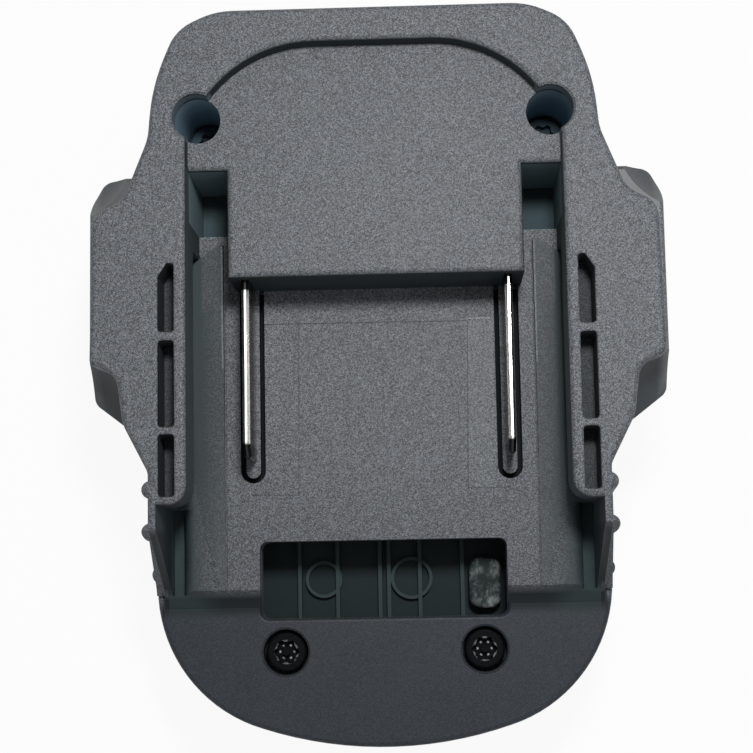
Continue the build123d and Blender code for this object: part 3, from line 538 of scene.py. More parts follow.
@dataclass(frozen=True)
class SocketMarks:
    """The lines that the mould's inserts leave on the socket's floor, dark lines along the strips' feet, and painted
    highlights along the insert's back edge and the strips' inner edges.
    """

    plate_back: WitnessMark = WitnessMark((-17.6, 9.7, SOCKET_FLOOR_Z), (13.4, 9.6, SOCKET_FLOOR_Z), 0.45)
    plate_left: WitnessMark = WitnessMark((-12.4, 9.7, SOCKET_FLOOR_Z), (-12.7, -16.7, SOCKET_FLOOR_Z), 0.6)
    plate_right: WitnessMark = WitnessMark((13.6, 9.6, SOCKET_FLOOR_Z), (13.1, -16.1, SOCKET_FLOOR_Z), 0.5)
    trench_left: WitnessMark = WitnessMark((-19.9, -16.6, SOCKET_FLOOR_Z), (-12.7, -16.7, SOCKET_FLOOR_Z), 0.55)
    trench_right: WitnessMark = WitnessMark((13.1, -16.1, SOCKET_FLOOR_Z), (19.5, -16.1, SOCKET_FLOOR_Z), 0.55)
    # Painted highlight: a bright line along the back edge of the floor insert.
    insert_gleam: WitnessMark = WitnessMark((13.8, 9.95, SOCKET_FLOOR_Z), (17.3, 9.95, SOCKET_FLOOR_Z), 2.0)
    left_strip_foot: WitnessMark = WitnessMark((-23.7, 21.0, SOCKET_FLOOR_Z), (-23.7, -31.0, SOCKET_FLOOR_Z), 0.6)
    right_strip_foot: WitnessMark = WitnessMark((23.7, 21.0, SOCKET_FLOOR_Z), (23.7, -31.0, SOCKET_FLOOR_Z), 0.6)
    # Painted highlights: bright lines along the crests of the strips' inner edges.
    left_strip_gleam: WitnessMark = WitnessMark((-24.05, 21.6, 31.28), (-24.05, 3.0, 30.73), 2.2, 0.2)
    right_strip_gleam: WitnessMark = WitnessMark((24.05, 21.6, 31.28), (24.05, 3.0, 30.73), 2.0, 0.2)

    def every(self) -> tuple[WitnessMark, ...]:
        """All the marks, in the order that they are laid on."""
        return tuple(getattr(self, field.name) for field in fields(self))


@dataclass(frozen=True)
class MouldedPlastic(Finish):
    """Fine-grained charcoal plastic: speckled outside and on level faces, darker and smoother on inner walls, whose
    darker tone is partly the smoother finish and partly painted shade.

    The insides are boxes, in millimetres, in which a wall along the mould's draw counts as an inner wall.
    """

    name: str
    face: Colour
    wall: Colour
    insides: tuple[tuple[Place, Place], ...]
    grain_mm: float = 0.12
    face_roughness: float = 0.42
    wall_roughness: float = 0.6
    speckle: float = 1.7
    grain_depth_mm: float = 0.03
    bump_strength: float = 0.6
    wall_speckle: float = 0.1
    wall_grain: float = 0.25
    inside_edge_mm: float = 0.4
    cloud_mm: float = 9.0
    cloud_tone: float = 0.2
    cloud_roughness: float = 0.16
    gloss: float = 0.16
    # The colour of the bright streaky patches that an area's smear paints.
    rubbed: Colour = (0.3, 0.34, 0.33)
    rub_mm: float = 1.9
    areas: tuple[SmoothArea, ...] = ()
    marks: tuple[WitnessMark, ...] = ()

    def rubbed_patches(self, sheet: NodeSheet, place: object) -> bpy.types.NodeSocket:
        """Uneven bright patches with slanting streaks, painted where a face looks bright and smeared.

        Args:
            sheet: The material's sheet.
            place: Where on the piece, in metres.

        Returns:
            How strongly each place is painted bright.
        """
        streaks = self.group(sheet, EffectGroups.fine_scratches(), {"Vector": place, "Stretch": (1.6, 0.5, 1.0)})
        patches = sheet.ramp(sheet.noise(place, self.rub_mm, 3.0, 0.6), 0.4, 0.72)
        return sheet.math("MULTIPLY", patches, sheet.ramp(streaks.outputs["Height"], 0.3, 0.75))

    def outside(self, sheet: NodeSheet, place: object) -> bpy.types.NodeSocket:
        """Where the surface lies in none of the inside boxes.

        Args:
            sheet: The material's sheet.
            place: Where on the piece, in metres.

        Returns:
            The mask.
        """
        masks = [self.box(sheet, place, low, high, self.inside_edge_mm) for low, high in self.insides]
        clear, *others = [sheet.math("SUBTRACT", 1.0, mask) for mask in masks]
        for other in others:
            clear = sheet.math("MULTIPLY", clear, other)
        return clear

    def mark_lines(self, sheet: NodeSheet, place: object, colour: object) -> object:
        """Darken a colour along the witness marks, and brighten it along the painted highlights.

        Args:
            sheet: The material's sheet.
            place: Where on the piece, in metres.
            colour: The colour without the marks.

        Returns:
            The colour with them.
        """
        for mark in self.marks:
            ends = {"Start": [v * MM for v in mark.start], "End": [v * MM for v in mark.end]}
            size = {"Vector": place, "Width": mark.width * MM}
            line = self.group(sheet, EffectGroups.line_mark(), {**size, **ends}).outputs["Mask"]
            shade = sheet.grey(sheet.ramp(line, 0.0, 1.0, 1.0, mark.shade))
            colour = sheet.mix(1.0, colour, shade, "MULTIPLY")
        return colour

    def build(self) -> bpy.types.Material:
        """Make the material.

        Returns:
            The finished material.
        """
        material, sheet, shader, where = self.start(self.name)
        place = where.outputs["Object"]
        per_metre = 1.0 / (self.grain_mm * MM)
        grain = self.group(sheet, EffectGroups.mould_grain(), {"Vector": place, "Per Metre": per_metre})
        flat = self.group(sheet, EffectGroups.flat_faces(), {"Normal": where.outputs["Normal"]}).outputs["Mask"]
        cloud = sheet.noise(place, self.cloud_mm, 3.0, 0.55)
        flat = sheet.math("MAXIMUM", flat, self.outside(sheet, place))
        from_centre = sheet.math("ABSOLUTE", sheet.add("ShaderNodeSeparateXYZ", {0: place}).outputs["X"])

        # Inner walls take the wall tone: partly a smoother finish, partly painted shade.
        colour = sheet.mix(flat, rgba(self.wall), rgba(self.face))
        roughness = sheet.ramp(flat, 0.0, 1.0, self.wall_roughness, self.face_roughness)
        # Each area lays on its own colour: a smoother finish, painted shade or painted light, as the area plans say.
        for area in self.areas:
            box = self.box(sheet, place, area.low, area.high, area.softness)
            within = sheet.math("LESS_THAN", from_centre, area.reach * MM)
            box = sheet.math("MULTIPLY", box, within)
            colour = sheet.mix(box, colour, rgba(area.colour))
            # Bright streaky patches painted on areas with a smear.
            if area.smear:
                smears = sheet.math("MULTIPLY", self.rubbed_patches(sheet, place), area.smear)
                colour = sheet.mix(sheet.math("MULTIPLY", box, smears), colour, rgba(self.rubbed))
            roughness = sheet.add("ShaderNodeMix", {0: box, 2: roughness, 3: area.roughness}).outputs[0]
            flat = sheet.math("MULTIPLY", flat, sheet.ramp(box, 0.0, 1.0, 1.0, area.grain))
        colour = self.mark_lines(sheet, place, colour)

        speck_strength = sheet.ramp(flat, 0.0, 1.0, self.wall_speckle, self.speckle)
        specks = sheet.math("MULTIPLY", grain.outputs["Speckle"], speck_strength)
        drift = sheet.math("MULTIPLY", sheet.math("SUBTRACT", cloud, 0.5), self.cloud_tone)
        tone = sheet.grey(sheet.math("ADD", sheet.math("ADD", specks, drift), 1.0))
        sheet.feed(shader.inputs["Base Color"], sheet.mix(1.0, colour, tone, "MULTIPLY"))
        rough_change = sheet.math("MULTIPLY", sheet.math("SUBTRACT", cloud, 0.5), self.cloud_roughness)
        sheet.feed(shader.inputs["Roughness"], sheet.math("ADD", roughness, rough_change, clamp=True))
        height = sheet.math("MULTIPLY", grain.outputs["Height"], sheet.ramp(flat, 0.0, 1.0, self.wall_grain, 1.0))
        self.bump(sheet, shader, height, self.grain_depth_mm, self.bump_strength)
        shader.inputs["Specular IOR Level"].default_value = self.gloss
        return material


@dataclass(frozen=True)
class PlatedMetal(Finish):
    """Rolled or turned metal with a plating: fine lines and faint clouds, with painted shade on its side faces and
    past its unshaded length along Y.
    """

    name: str
    bright: Colour
    dull: Colour
    roughness: float = 0.2
    line_roughness: float = 0.18
    stretch: Place = (9.0, 0.35, 9.0)
    line_depth_mm: float = 0.004
    side_dulling: float = 0.0
    clean_y: tuple[float, float] = (-200.0, 200.0)
    stain: Colour = (0.03, 0.03, 0.03)
    stain_edge_mm: float = 0.3
    cloud_mm: float = 2.6

    def build(self) -> bpy.types.Material:
        """Make the material.

        Returns:
            The finished material.
        """
        material, sheet, shader, where = self.start(self.name)
        place = where.outputs["Object"]
        lines = self.group(sheet, EffectGroups.fine_scratches(), {"Vector": place, "Stretch": self.stretch})
        cloud = sheet.ramp(sheet.noise(place, self.cloud_mm, 4.0, 0.6), 0.35, 0.75)
        dulling_and_side_shade = sheet.math("MULTIPLY", cloud, sheet.ramp(lines.outputs["Mask"], 0.0, 1.0, 0.35, 1.0))
        level = self.group(sheet, EffectGroups.flat_faces(), {"Normal": where.outputs["Normal"]}).outputs["Mask"]
        # Painted shade: the side faces darkened towards the dull colour, standing in for the dark reflections they
        # show.
        sides = sheet.math("MULTIPLY", sheet.math("SUBTRACT", 1.0, level), self.side_dulling)
        dulling_and_side_shade = sheet.math("ADD", sheet.math("MULTIPLY", dulling_and_side_shade, 1.0 - self.side_dulling), sides, clamp=True)
        metal = sheet.mix(dulling_and_side_shade, rgba(self.bright), rgba(self.dull))
        # Painted shade past the unshaded length: on the blades, their slanted tips and the stretch beside the block's
        # wall go near black.
        low, high = [(end * FAR_MM, y, end * FAR_MM) for end, y in zip((-1, 1), self.clean_y)]
        unshaded = self.box(sheet, place, low, high, self.stain_edge_mm)
        sheet.feed(shader.inputs["Base Color"], sheet.mix(unshaded, rgba(self.stain), metal))
        change = sheet.math("MULTIPLY", lines.outputs["Mask"], self.line_roughness)
        sheet.feed(shader.inputs["Roughness"], sheet.math("ADD", change, self.roughness, clamp=True))
        shader.inputs["Metallic"].default_value = 1.0
        self.bump(sheet, shader, lines.outputs["Height"], self.line_depth_mm, 0.5)
        return material


@dataclass(frozen=True)
class BlackOxide(Finish):
    """Black oxide on two mirrored screws, with painted highlights: a broken bright ring where the recess's chamfer
    catches the light, and glints on the lobes of the recess.
    """

    name: str
    centre: tuple[float, float]
    top_z: float
    worn: float
    ring_mm: float = 1.72
    lobe_mm: float = 1.08
    lobes: float = 6.0
    edge_mm: float = 0.2
    ring_wear: float = 0.4
    grain_mm: float = 0.35
    gloss: float = 0.04
    dark: Colour = (0.003, 0.004, 0.005)
    rubbed: Colour = (0.6, 0.62, 0.62)

    def build(self) -> bpy.types.Material:
        """Make the material.

        Returns:
            The finished material.
        """
        material, sheet, shader, where = self.start(self.name)
        place = where.outputs["Object"]
        parts = sheet.add("ShaderNodeSeparateXYZ", {0: place})
        x = sheet.math("SUBTRACT", sheet.math("ABSOLUTE", parts.outputs["X"]), self.centre[0] * MM)
        y = sheet.math("SUBTRACT", parts.outputs["Y"], self.centre[1] * MM)
        far = sheet.math("SQRT", sheet.math("ADD", sheet.math("MULTIPLY", x, x), sheet.math("MULTIPLY", y, y)))
        wobble = sheet.noise(place, 0.5, 3.0, 0.6)
        # Painted highlights: a broken ring on the recess's chamfer and glints on its lobes, on the screws' own black.
        ring_gap = sheet.math("ABSOLUTE", sheet.math("SUBTRACT", far, self.ring_mm * MM))
        ring_line = sheet.ramp(ring_gap, self.edge_mm * MM, 0.05 * MM)
        ring = sheet.math("MULTIPLY", ring_line, sheet.ramp(wobble, 0.4, 0.56))
        lobe_gap = sheet.math("ABSOLUTE", sheet.math("SUBTRACT", far, self.lobe_mm * MM))
        wave = sheet.math("COSINE", sheet.math("MULTIPLY", sheet.math("ARCTAN2", y, x), self.lobes))
        lobe_line = sheet.ramp(lobe_gap, self.edge_mm * MM, 0.06 * MM)
        dots = sheet.math("MULTIPLY", lobe_line, sheet.ramp(wave, 0.35, 0.85))
        on_top = sheet.ramp(parts.outputs["Z"], (self.top_z - 0.6) * MM, (self.top_z - 0.1) * MM)
        painted_highlight = sheet.math("MULTIPLY", sheet.math("MULTIPLY", ring, on_top), self.ring_wear)
        painted_highlight = sheet.math("MULTIPLY", sheet.math("MAXIMUM", painted_highlight, dots), self.worn)
        sheet.feed(shader.inputs["Base Color"], sheet.mix(painted_highlight, rgba(self.dark), rgba(self.rubbed)))
        grain = sheet.noise(place, self.grain_mm, 3.0, 0.6)
        sheet.feed(shader.inputs["Roughness"], sheet.ramp(grain, 0.3, 0.7, 0.5, 0.7))
        self.bump(sheet, shader, grain, 0.01, 0.5)
        shader.inputs["Specular IOR Level"].default_value = self.gloss
        return material


@dataclass(frozen=True)
class SolderMask(Finish):
    """Green solder mask over copper tracks on glass cloth."""

    name: str
    mask: Colour = (0.012, 0.11, 0.045)
    over_copper: Colour = (0.035, 0.2, 0.075)
    edge: Colour = (0.42, 0.36, 0.16)
    track_mm: float = 3.4
    weave_mm: float = 0.45
    relief_mm: float = 0.035

    def build(self) -> bpy.types.Material:
        """Make the material.

        Returns:
            The finished material.
        """
        material, sheet, shader, where = self.start(self.name)
        place = where.outputs["Object"]
        cells = {"Vector": place, "Scale": 1.0 / (self.track_mm * MM)}
        tracks = sheet.add("ShaderNodeTexVoronoi", cells, distance="MANHATTAN", feature="F1")
        copper = sheet.ramp(tracks.outputs["Distance"], 0.52, 0.48)
        threads = {"Vector": place, "Scale": 1.0 / (self.weave_mm * MM)}
        weave = sheet.add("ShaderNodeTexChecker", threads).outputs["Fac"]
        green = sheet.mix(copper, rgba(self.mask), rgba(self.over_copper))
        flat = self.group(sheet, EffectGroups.flat_faces(), {"Normal": where.outputs["Normal"]}).outputs["Mask"]
        sheet.feed(shader.inputs["Base Color"], sheet.mix(flat, rgba(self.edge), green))
        sheet.feed(shader.inputs["Roughness"], sheet.ramp(weave, 0.0, 1.0, 0.3, 0.36))
        height = sheet.math("ADD", sheet.math("MULTIPLY", weave, 0.15), copper)
        self.bump(sheet, shader, height, self.relief_mm, 0.6)
        shader.inputs["Coat Weight"].default_value = 0.3
        return material


@dataclass(frozen=True)
class MouldedPart(Finish):
    """Moulded resin or rubber of a small part: one tone with clouds and fine grain."""

    name: str
    colour: Colour
    roughness: float = 0.5
    grain_mm: float = 0.12
    spread: float = 0.35
    coat: float = 0.0
    cloud_mm: float = 3.0
    roughness_spread: float = 0.07

    def build(self) -> bpy.types.Material:
        """Make the material.

        Returns:
            The finished material.
        """
        material, sheet, shader, where = self.start(self.name)
        place = where.outputs["Object"]
        per_metre = 1.0 / (self.grain_mm * MM)
        grain = self.group(sheet, EffectGroups.mould_grain(), {"Vector": place, "Per Metre": per_metre})
        cloud = sheet.noise(place, self.cloud_mm, 3.0)
        lighter = rgba(tuple(min(1.0, v * (1.0 + self.spread) + 0.004) for v in self.colour))
        darker = rgba(tuple(v * (1.0 - self.spread) for v in self.colour))
        amount = sheet.math("ADD", sheet.math("MULTIPLY", grain.outputs["Speckle"], 0.5), cloud, clamp=True)
        sheet.feed(shader.inputs["Base Color"], sheet.mix(amount, darker, lighter))
        low, high = self.roughness - self.roughness_spread, self.roughness + self.roughness_spread
        sheet.feed(shader.inputs["Roughness"], sheet.ramp(cloud, 0.3, 0.7, low, high))
        shader.inputs["Coat Weight"].default_value = self.coat
        self.bump(sheet, shader, grain.outputs["Height"], 0.012, 0.5)
        return material


@dataclass
class PhotoCamera:
    """The photograph's camera, above the socket and a little towards the nose."""

    image_px: float = 753.0
    focal_px: float = 1700.0
    sensor_mm: float = 36.0
    place_mm: Place = (7.3, -30.5, 288.4)
    tilt_deg: float = 6.99
    lean_deg: float = 1.72
    turn_deg: float = -1.26

    def build(self) -> bpy.types.Object:
        """Make the camera and choose it for the scene.

        Returns:
            The camera.
        """
        data = bpy.data.cameras.new("photo_camera")
        data.sensor_width = self.sensor_mm
        data.lens = self.sensor_mm * self.focal_px / self.image_px
        data.clip_start = 0.01
        camera = bpy.data.objects.new("photo_camera", data)
        bpy.context.scene.collection.objects.link(camera)
        turn = Matrix.Rotation(math.radians(self.tilt_deg), 4, "X")
        turn = turn @ Matrix.Rotation(math.radians(self.lean_deg), 4, "Y")
        turn = turn @ Matrix.Rotation(math.radians(self.turn_deg), 4, "Z")
        camera.matrix_world = Matrix.Translation(Vector(self.place_mm) * MM) @ turn
        bpy.context.scene.camera = camera
        return camera


@dataclass(frozen=True)
class SoftLamp:
    """A square soft lamp, aimed at the object, that gives a share of a plain level of light on a level face."""

    name: str
    place: Place
    size: float
    share: float

    def build(self) -> bpy.types.Object:
        """Make the lamp.

        Returns:
            The lamp.
        """
        away = Vector(self.place) - Vector((0.0, 0.0, 0.03))
        data = bpy.data.lights.new(self.name, "AREA")
        data.size = self.size
        data.energy = self.share * math.pi**2 * away.length_squared / (away.z / away.length)
        lamp = bpy.data.objects.new(self.name, data)
        lamp.location = self.place
        lamp.rotation_euler = away.to_track_quat("Z", "Y").to_euler()
        bpy.context.scene.collection.objects.link(lamp)
        return lamp


@dataclass
class Studio:
    """A pale floor that keeps the shadow, white surroundings and soft lamps."""

    floor_half_m: float = 1.5
    floor_drop_mm: float = 0.1
    clear_mm: float = 2.5
    floor_tone: Colour = (0.8, 0.8, 0.8)
    shadow_share: float = 0.07
    lamps: tuple[SoftLamp, ...] = (
        SoftLamp("key_lamp", (0.03, 0.075, 0.3), 0.042, 0.78),
        SoftLamp("fill_lamp", (0.3, -0.45, 0.5), 0.6, 0.08),
    )

    @staticmethod
    def sees_white(sheet: NodeSheet, path: bpy.types.Node) -> bpy.types.NodeSocket:
        """Which rays see the plain white surroundings: the camera's, and those off gloss and through glass."""
        seen = sheet.math("MAXIMUM", path.outputs["Is Camera Ray"], path.outputs["Is Glossy Ray"])
        return sheet.math("MAXIMUM", seen, path.outputs["Is Transmission Ray"])

    def floor(self) -> bpy.types.Object:
        """A wide floor, white with a faint shadow to the camera, and clear from below and to what rests on it.

        Returns:
            The floor.
        """
        shape = bmesh.new()
        drop = Matrix.Translation((0.0, 0.0, -self.floor_drop_mm * MM))
        bmesh.ops.create_grid(shape, x_segments=2, y_segments=2, size=self.floor_half_m, matrix=drop)
        mesh = bpy.data.meshes.new("floor")
        shape.to_mesh(mesh)
        shape.free()
        material = bpy.data.materials.new("pale_floor")
        material.use_nodes = True
        sheet = NodeSheet(material.node_tree)
        sheet.tree.nodes.clear()
        paint = sheet.add("ShaderNodeBsdfDiffuse", {"Color": rgba(self.floor_tone)})
        white = sheet.add("ShaderNodeEmission", {"Color": rgba((1.0, 1.0, 1.0)), "Strength": Backdrop.SEEN.value})
        path = sheet.add("ShaderNodeLightPath")
        seen = sheet.math("MULTIPLY", self.sees_white(sheet, path), 1.0 - self.shadow_share)
        blend = sheet.add("ShaderNodeMixShader", {0: seen, 1: paint.outputs[0], 2: white.outputs[0]})
        behind = sheet.add("ShaderNodeNewGeometry").outputs["Backfacing"]
        clear = sheet.add("ShaderNodeBsdfTransparent")
        from_below = sheet.math("MULTIPLY", path.outputs["Is Camera Ray"], behind)
        close_by = sheet.math("LESS_THAN", path.outputs["Ray Length"], self.clear_mm * MM)
        unseen = sheet.math("MAXIMUM", from_below, close_by)
        blend = sheet.add("ShaderNodeMixShader", {0: unseen, 1: blend.outputs[0], 2: clear.outputs[0]})
        sheet.add("ShaderNodeOutputMaterial", {"Surface": blend.outputs[0]})
        mesh.materials.append(material)
        floor = bpy.data.objects.new("floor", mesh)
        bpy.context.scene.collection.objects.link(floor)
        return floor

    def surroundings(self) -> bpy.types.World:
        """White to the camera, to gloss and through glass; a plain soft level as a light.

        Returns:
            The world.
        """
        world = bpy.data.worlds.new("studio")
        world.use_nodes = True
        sheet = NodeSheet(world.node_tree)
        sheet.tree.nodes.clear()
        seen = self.sees_white(sheet, sheet.add("ShaderNodeLightPath"))
        strength = sheet.ramp(seen, 0.0, 1.0, Backdrop.LIGHTING.value, Backdrop.SEEN.value)
        glow = sheet.add("ShaderNodeBackground", {"Color": rgba((1.0, 1.0, 1.0)), "Strength": strength})
        sheet.add("ShaderNodeOutputWorld", {"Surface": glow.outputs[0]})
        bpy.context.scene.world = world
        return world

    def build(self) -> None:
        """Make the floor, the surroundings and the lamps."""
        self.floor()
        self.surroundings()
        for lamp in self.lamps:
            lamp.build()
        bpy.context.scene.view_settings.view_transform = "Standard"


class Dresser:
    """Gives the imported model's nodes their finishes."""

    charcoal: Colour = (0.106, 0.114, 0.125)
    # The inner walls' tone: darker for their smoother finish, and darker still as painted shade.
    draw_wall: Colour = (0.012, 0.018, 0.021)
    socket_insides: tuple[tuple[Place, Place], ...] = (
        ((-32.3, -31.7, 20.0), (32.3, 24.0, 46.0)),
        ((-28.2, 23.0, 20.0), (28.2, 50.2, 46.0)),
        ((-19.2, -35.9, 20.0), (19.2, -31.0, 27.6)),
    )
    tower_insides: tuple[tuple[Place, Place], ...] = (((-23.4, -20.0, 2.0), (23.4, 43.2, 16.0)),)
    arm_insides: tuple[tuple[Place, Place], ...] = (((-32.4, 0.0, 0.0), (32.4, 30.0, 30.0)),)
    nose_screw_at: tuple[float, float] = (15.1, -40.4)
    nose_screw_z: float = 26.6
    upper_screw_at: tuple[float, float] = (26.2, 38.7)
    upper_screw_z: float = 28.2

    def __init__(self, frame: dict) -> None:
        self.frame = frame

    def dress(self, material: bpy.types.Material, *nodes: str) -> None:
        """Put one material on some nodes.

        Args:
            material: The material.
            nodes: The nodes' names.
        """
        for name in nodes:
            mesh = self.frame["nodes"][name].data
            mesh.materials.clear()
            mesh.materials.append(material)
            LOG.info("dressed %s with %s", name, material.name)

    def mouldings(self) -> None:
        """Dress the two shells and the buttons."""
        tones = self.charcoal, self.draw_wall
        areas, marks = SocketAreas().every(), SocketMarks().every()
        shell = MouldedPlastic("shell_black", *tones, self.socket_insides, areas=areas, marks=marks)
        self.dress(shell.build(), "socket_shell")
        areas = ToolSideAreas().every()
        tool_side = MouldedPlastic("tool_shell_black", *tones, self.tower_insides, gloss=0.05, areas=areas)
        self.dress(tool_side.build(), "tool_side_shell")
        button = MouldedPlastic("button_black", *tones, self.arm_insides, gloss=0.4, areas=ButtonAreas().every())
        self.dress(button.build(), "right_release_button", "left_release_button")

    def metals(self) -> None:
        """Dress the contacts and the screws."""
        # The nose screws get the painted highlights at 0.6 of full strength.
        near = BlackOxide("case_screw_black", self.nose_screw_at, self.nose_screw_z, 0.6)
        self.dress(near.build(), "nose_case_screws")
        # Painted tone: the deep upper screws take the even navy painted in their shaded bores, in place of their own
        # black, and no highlights.
        dark = (0.05, 0.075, 0.095)
        deep = BlackOxide("case_screw_dark", self.upper_screw_at, self.upper_screw_z, 0.0, dark=dark)
        self.dress(deep.build(), "upper_case_screws")
        # The blades carry painted shade on their side faces and outside y -9.5 to 13.4 mm.
        nickel = PlatedMetal(
            "blade_nickel", (0.97, 0.96, 0.94), (0.3, 0.25, 0.23), 0.16, side_dulling=0.85, clean_y=(-9.5, 13.4)
        )
        self.dress(nickel.build(), "positive_blade", "negative_blade")
        brass = PlatedMetal("fork_brass", (0.8, 0.63, 0.33), (0.5, 0.36, 0.16), roughness=0.24)
        self.dress(brass.build(), "positive_fork", "negative_fork", "signal_forks")
        zinc = PlatedMetal("small_screw_steel", (0.66, 0.66, 0.64), (0.4, 0.41, 0.4), 0.28, stretch=(3.0, 3.0, 0.6))
        self.dress(zinc.build(), "board_screws")

    def resins(self) -> None:
        """Dress the insulators, the board with its components, and the wires."""
        insulator = MouldedPart("insulator_grey", (0.2, 0.21, 0.22), 0.5)
        self.dress(insulator.build(), "blade_carrier", "fork_carrier")
        self.dress(SolderMask("board_green").build(), "circuit_board")
        epoxy = MouldedPart("component_black", (0.018, 0.018, 0.02), 0.46, 0.08)
        self.dress(epoxy.build(), "power_transistor", "control_chip", "board_resistors")
        sleeve = MouldedPart("capacitor_sleeve", (0.02, 0.035, 0.11), 0.3, 0.2, 0.2, coat=0.4)
        self.dress(sleeve.build(), "board_capacitor")
        for slot, colour, nodes in (
            ("lead_red", (0.45, 0.014, 0.012), "positive_lead"),
            ("lead_black", (0.016, 0.016, 0.018), "negative_lead"),
            ("lead_yellow", (0.62, 0.42, 0.02), "signal_leads"),
        ):
            self.dress(MouldedPart(slot, colour, 0.42, 0.15, 0.2).build(), nodes)


@dataclass
class Piece:
    """A new piece that is made here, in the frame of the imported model."""

    name: str
    slot: str

    def finished(
        self, shape: bmesh.types.BMesh, material: bpy.types.Material, smooth: bool = True
    ) -> bpy.types.Object:
        """Turn a shape into a piece that moves with the housing.

        Args:
            shape: The shape, in metres, which is freed.
            material: The piece's finish.
            smooth: Whether its faces are shaded as one curved surface.

        Returns:
            The piece.
        """
        bmesh.ops.recalc_face_normals(shape, faces=shape.faces)
        for face in shape.faces:
            face.smooth = smooth
        mesh = bpy.data.meshes.new(self.name)
        shape.to_mesh(mesh)
        shape.free()
        mesh.materials.append(material)
        piece = bpy.data.objects.new(self.name, mesh)
        bpy.context.scene.collection.objects.link(piece)
        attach(piece, "housing")
        LOG.info("made %s, dressed with %s", self.name, material.name)
        return piece


@dataclass
class ReleaseSpring(Piece):
    """One button's coil spring, wound along X with closed ends."""

    side: Side = Side.RIGHT
    seat_mm: Place = (32.5, 13.0, 32.0)
    length_mm: float = 8.4
    coil_mm: float = 2.45
    wire_mm: float = 0.35
    end_turns: float = 1.0
    close_pitch: float = 2.06
    free_turns: float = 4.0
    keep: float = 0.702
    steps: int = 28
    rounds: int = 12

    def wound(self) -> bmesh.types.BMesh:
        """Wind the wire: a close end turn, the free turns and the other end turn.

        Returns:
            The spring's shape.
        """
        shape = bmesh.new()
        centre = Vector(self.seat_mm) * MM
        centre.x *= self.side.value
        start = centre + Vector((self.side.value * self.wire_mm, self.coil_mm, 0.0)) * MM
        flat = Matrix.Translation(start)
        radius = self.wire_mm * MM
        made = bmesh.ops.create_circle(shape, cap_ends=False, segments=self.rounds, radius=radius, matrix=flat)
        last = made["verts"] + shape.edges[:]
        close = self.close_pitch * self.wire_mm
        stretch = (self.length_mm - 2 * self.wire_mm - 2 * self.end_turns * close) / self.free_turns
        for turns, pitch in ((self.end_turns, close), (self.free_turns, stretch), (self.end_turns, close)):
            steps = round(turns * self.steps)
            advance = Vector((self.side.value * pitch * turns * MM / steps, 0.0, 0.0))
            spun = bmesh.ops.spin(
                shape, geom=last, cent=centre, axis=(1, 0, 0), dvec=advance, angle=math.tau * turns, steps=steps
            )
            last = spun["geom_last"]
        bmesh.ops.holes_fill(shape, edges=[edge for edge in shape.edges if edge.is_boundary], sides=0)
        return shape

    def build(self, material: bpy.types.Material) -> bpy.types.Object:
        """Make the spring and hide the imported spring that it replaces.

        Args:
            material: The spring's finish.

        Returns:
            The spring.
        """
        piece = self.finished(self.wound(), material)
        node = f"{self.side.name.lower()}_release_spring"
        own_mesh(piece)
        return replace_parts(piece, node)


@dataclass
class SolderJoints(Piece):
    """Small domes of solder where wires and legs meet the board and the contacts."""

    places: tuple[tuple[Place, float], ...] = (
        ((-1.5, -7.4, 21.35), 0.75),
        ((1.0, -7.4, 21.35), 0.75),
        ((3.5, -7.4, 21.35), 0.75),
        ((9.0, 11.5, 21.4), 0.95),
        ((-9.0, 11.5, 21.4), 0.95),
        ((19.6, 26.0, 19.7), 1.5),
        ((-19.6, 26.0, 19.7), 1.5),
    )
    flatness: float = 0.55
    around: int = 20
    rings: int = 12

    def build(self, material: bpy.types.Material) -> bpy.types.Object:
        """Make the domes as one piece.

        Args:
            material: The solder's finish.

        Returns:
            The domes.
        """
        shape = bmesh.new()
        for place, radius in self.places:
            flat = Matrix.Translation(Vector(place) * MM) @ Matrix.Diagonal((1.0, 1.0, self.flatness, 1.0))
            size = {"u_segments": self.around, "v_segments": self.rings, "radius": radius * MM}
            bmesh.ops.create_uvsphere(shape, matrix=flat, **size)
        return self.finished(shape, material)


@dataclass
class EndCaps(Piece):
    """The plated ends of the small resistors above the board."""

    columns: tuple[float, ...] = (-9.0, -5.5, 5.5, 9.0)
    ends: tuple[float, float] = (3.2, 6.0)
    level: float = 23.38
    size: Place = (1.7, 0.55, 0.7)
    rounding: float = 0.1

    def build(self, material: bpy.types.Material) -> bpy.types.Object:
        """Make the caps as one piece.

        Args:
            material: The caps' finish.

        Returns:
            The caps.
        """
        shape = bmesh.new()
        scale = Matrix.Diagonal((*(value * MM for value in self.size), 1.0))
        for x in self.columns:
            for y in self.ends:
                spot = Matrix.Translation(Vector((x, y, self.level)) * MM)
                bmesh.ops.create_cube(shape, size=1.0, matrix=spot @ scale)
        width = self.rounding * MM
        bmesh.ops.bevel(
            shape, geom=shape.edges[:], offset=width, affect="EDGES", segments=2, profile=0.5, material=-1
        )
        return self.finished(shape, material, smooth=False)


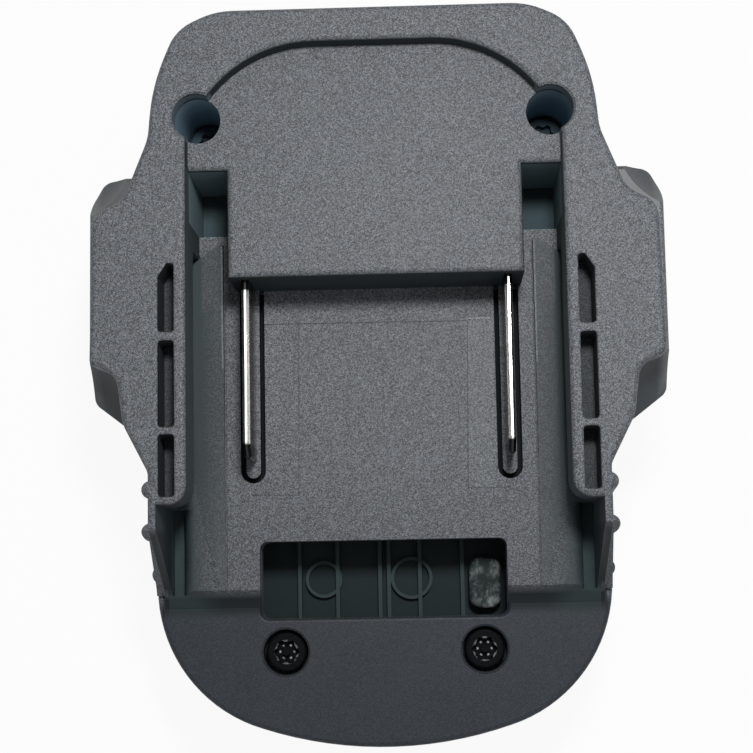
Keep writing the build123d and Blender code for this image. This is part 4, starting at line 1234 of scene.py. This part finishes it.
@dataclass
class MouldFlash(Piece):
    """Thin torn slivers of plastic left at the back ends of the guide strips."""

    slivers: tuple[tuple[Place, Place, float], ...] = (
        ((-28.8, 22.7, 29.52), (-27.9, 21.4, 30.2), 0.5),
        ((-27.9, 21.5, 29.52), (-27.2, 19.9, 30.4), 0.4),
        ((28.5, 21.6, 29.52), (27.8, 20.0, 30.1), 0.35),
    )
    flatness: float = 0.3
    tip_mm: float = 0.1
    sides: int = 9

    def build(self, material: bpy.types.Material) -> bpy.types.Object:
        """Make the slivers as one piece.

        Args:
            material: The slivers' finish.

        Returns:
            The slivers.
        """
        shape = bmesh.new()
        for start, end, width in self.slivers:
            first, run = Vector(start) * MM, (Vector(end) - Vector(start)) * MM
            aim = run.to_track_quat("Z", "X").to_matrix().to_4x4()
            middle = Matrix.Translation(first + run / 2) @ aim @ Matrix.Diagonal((1.0, self.flatness, 1.0, 1.0))
            sizes = {"radius1": width * MM / 2, "radius2": self.tip_mm * MM, "depth": run.length}
            bmesh.ops.create_cone(shape, cap_ends=True, segments=self.sides, matrix=middle, **sizes)
        return self.finished(shape, material)


class Workshop:
    """Makes the new pieces with the finishes they share."""

    @staticmethod
    def build() -> None:
        """Make every piece."""
        steel = PlatedMetal("spring_steel", (0.6, 0.6, 0.6), (0.4, 0.4, 0.4), 0.24, stretch=(2.0, 2.0, 2.0)).build()
        for side in Side:
            ReleaseSpring(f"{side.name.lower()}_coil_spring", "spring_steel", side).build(steel)
        solder = PlatedMetal("solder_tin", (0.72, 0.72, 0.7), (0.5, 0.5, 0.48), 0.22, stretch=(1.5, 1.5, 1.5)).build()
        SolderJoints("solder_joints", "small_screw_steel").build(solder)
        EndCaps("resistor_end_caps", "small_screw_steel").build(solder)
        torn = MouldedPart("torn_plastic", (0.2, 0.22, 0.23), 0.4).build()
        MouldFlash("mould_flash", "shell_black").build(torn)


def main() -> None:
    """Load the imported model, dress it, add the fine pieces, and set up the camera and the studio."""
    logging.basicConfig(level=logging.INFO, format="%(name)s: %(message)s")
    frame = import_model()
    PhotoCamera().build()
    Studio().build()

    dresser = Dresser(frame)
    dresser.mouldings()
    dresser.metals()
    dresser.resins()
    Workshop.build()


if __name__ == "__main__":
    main()
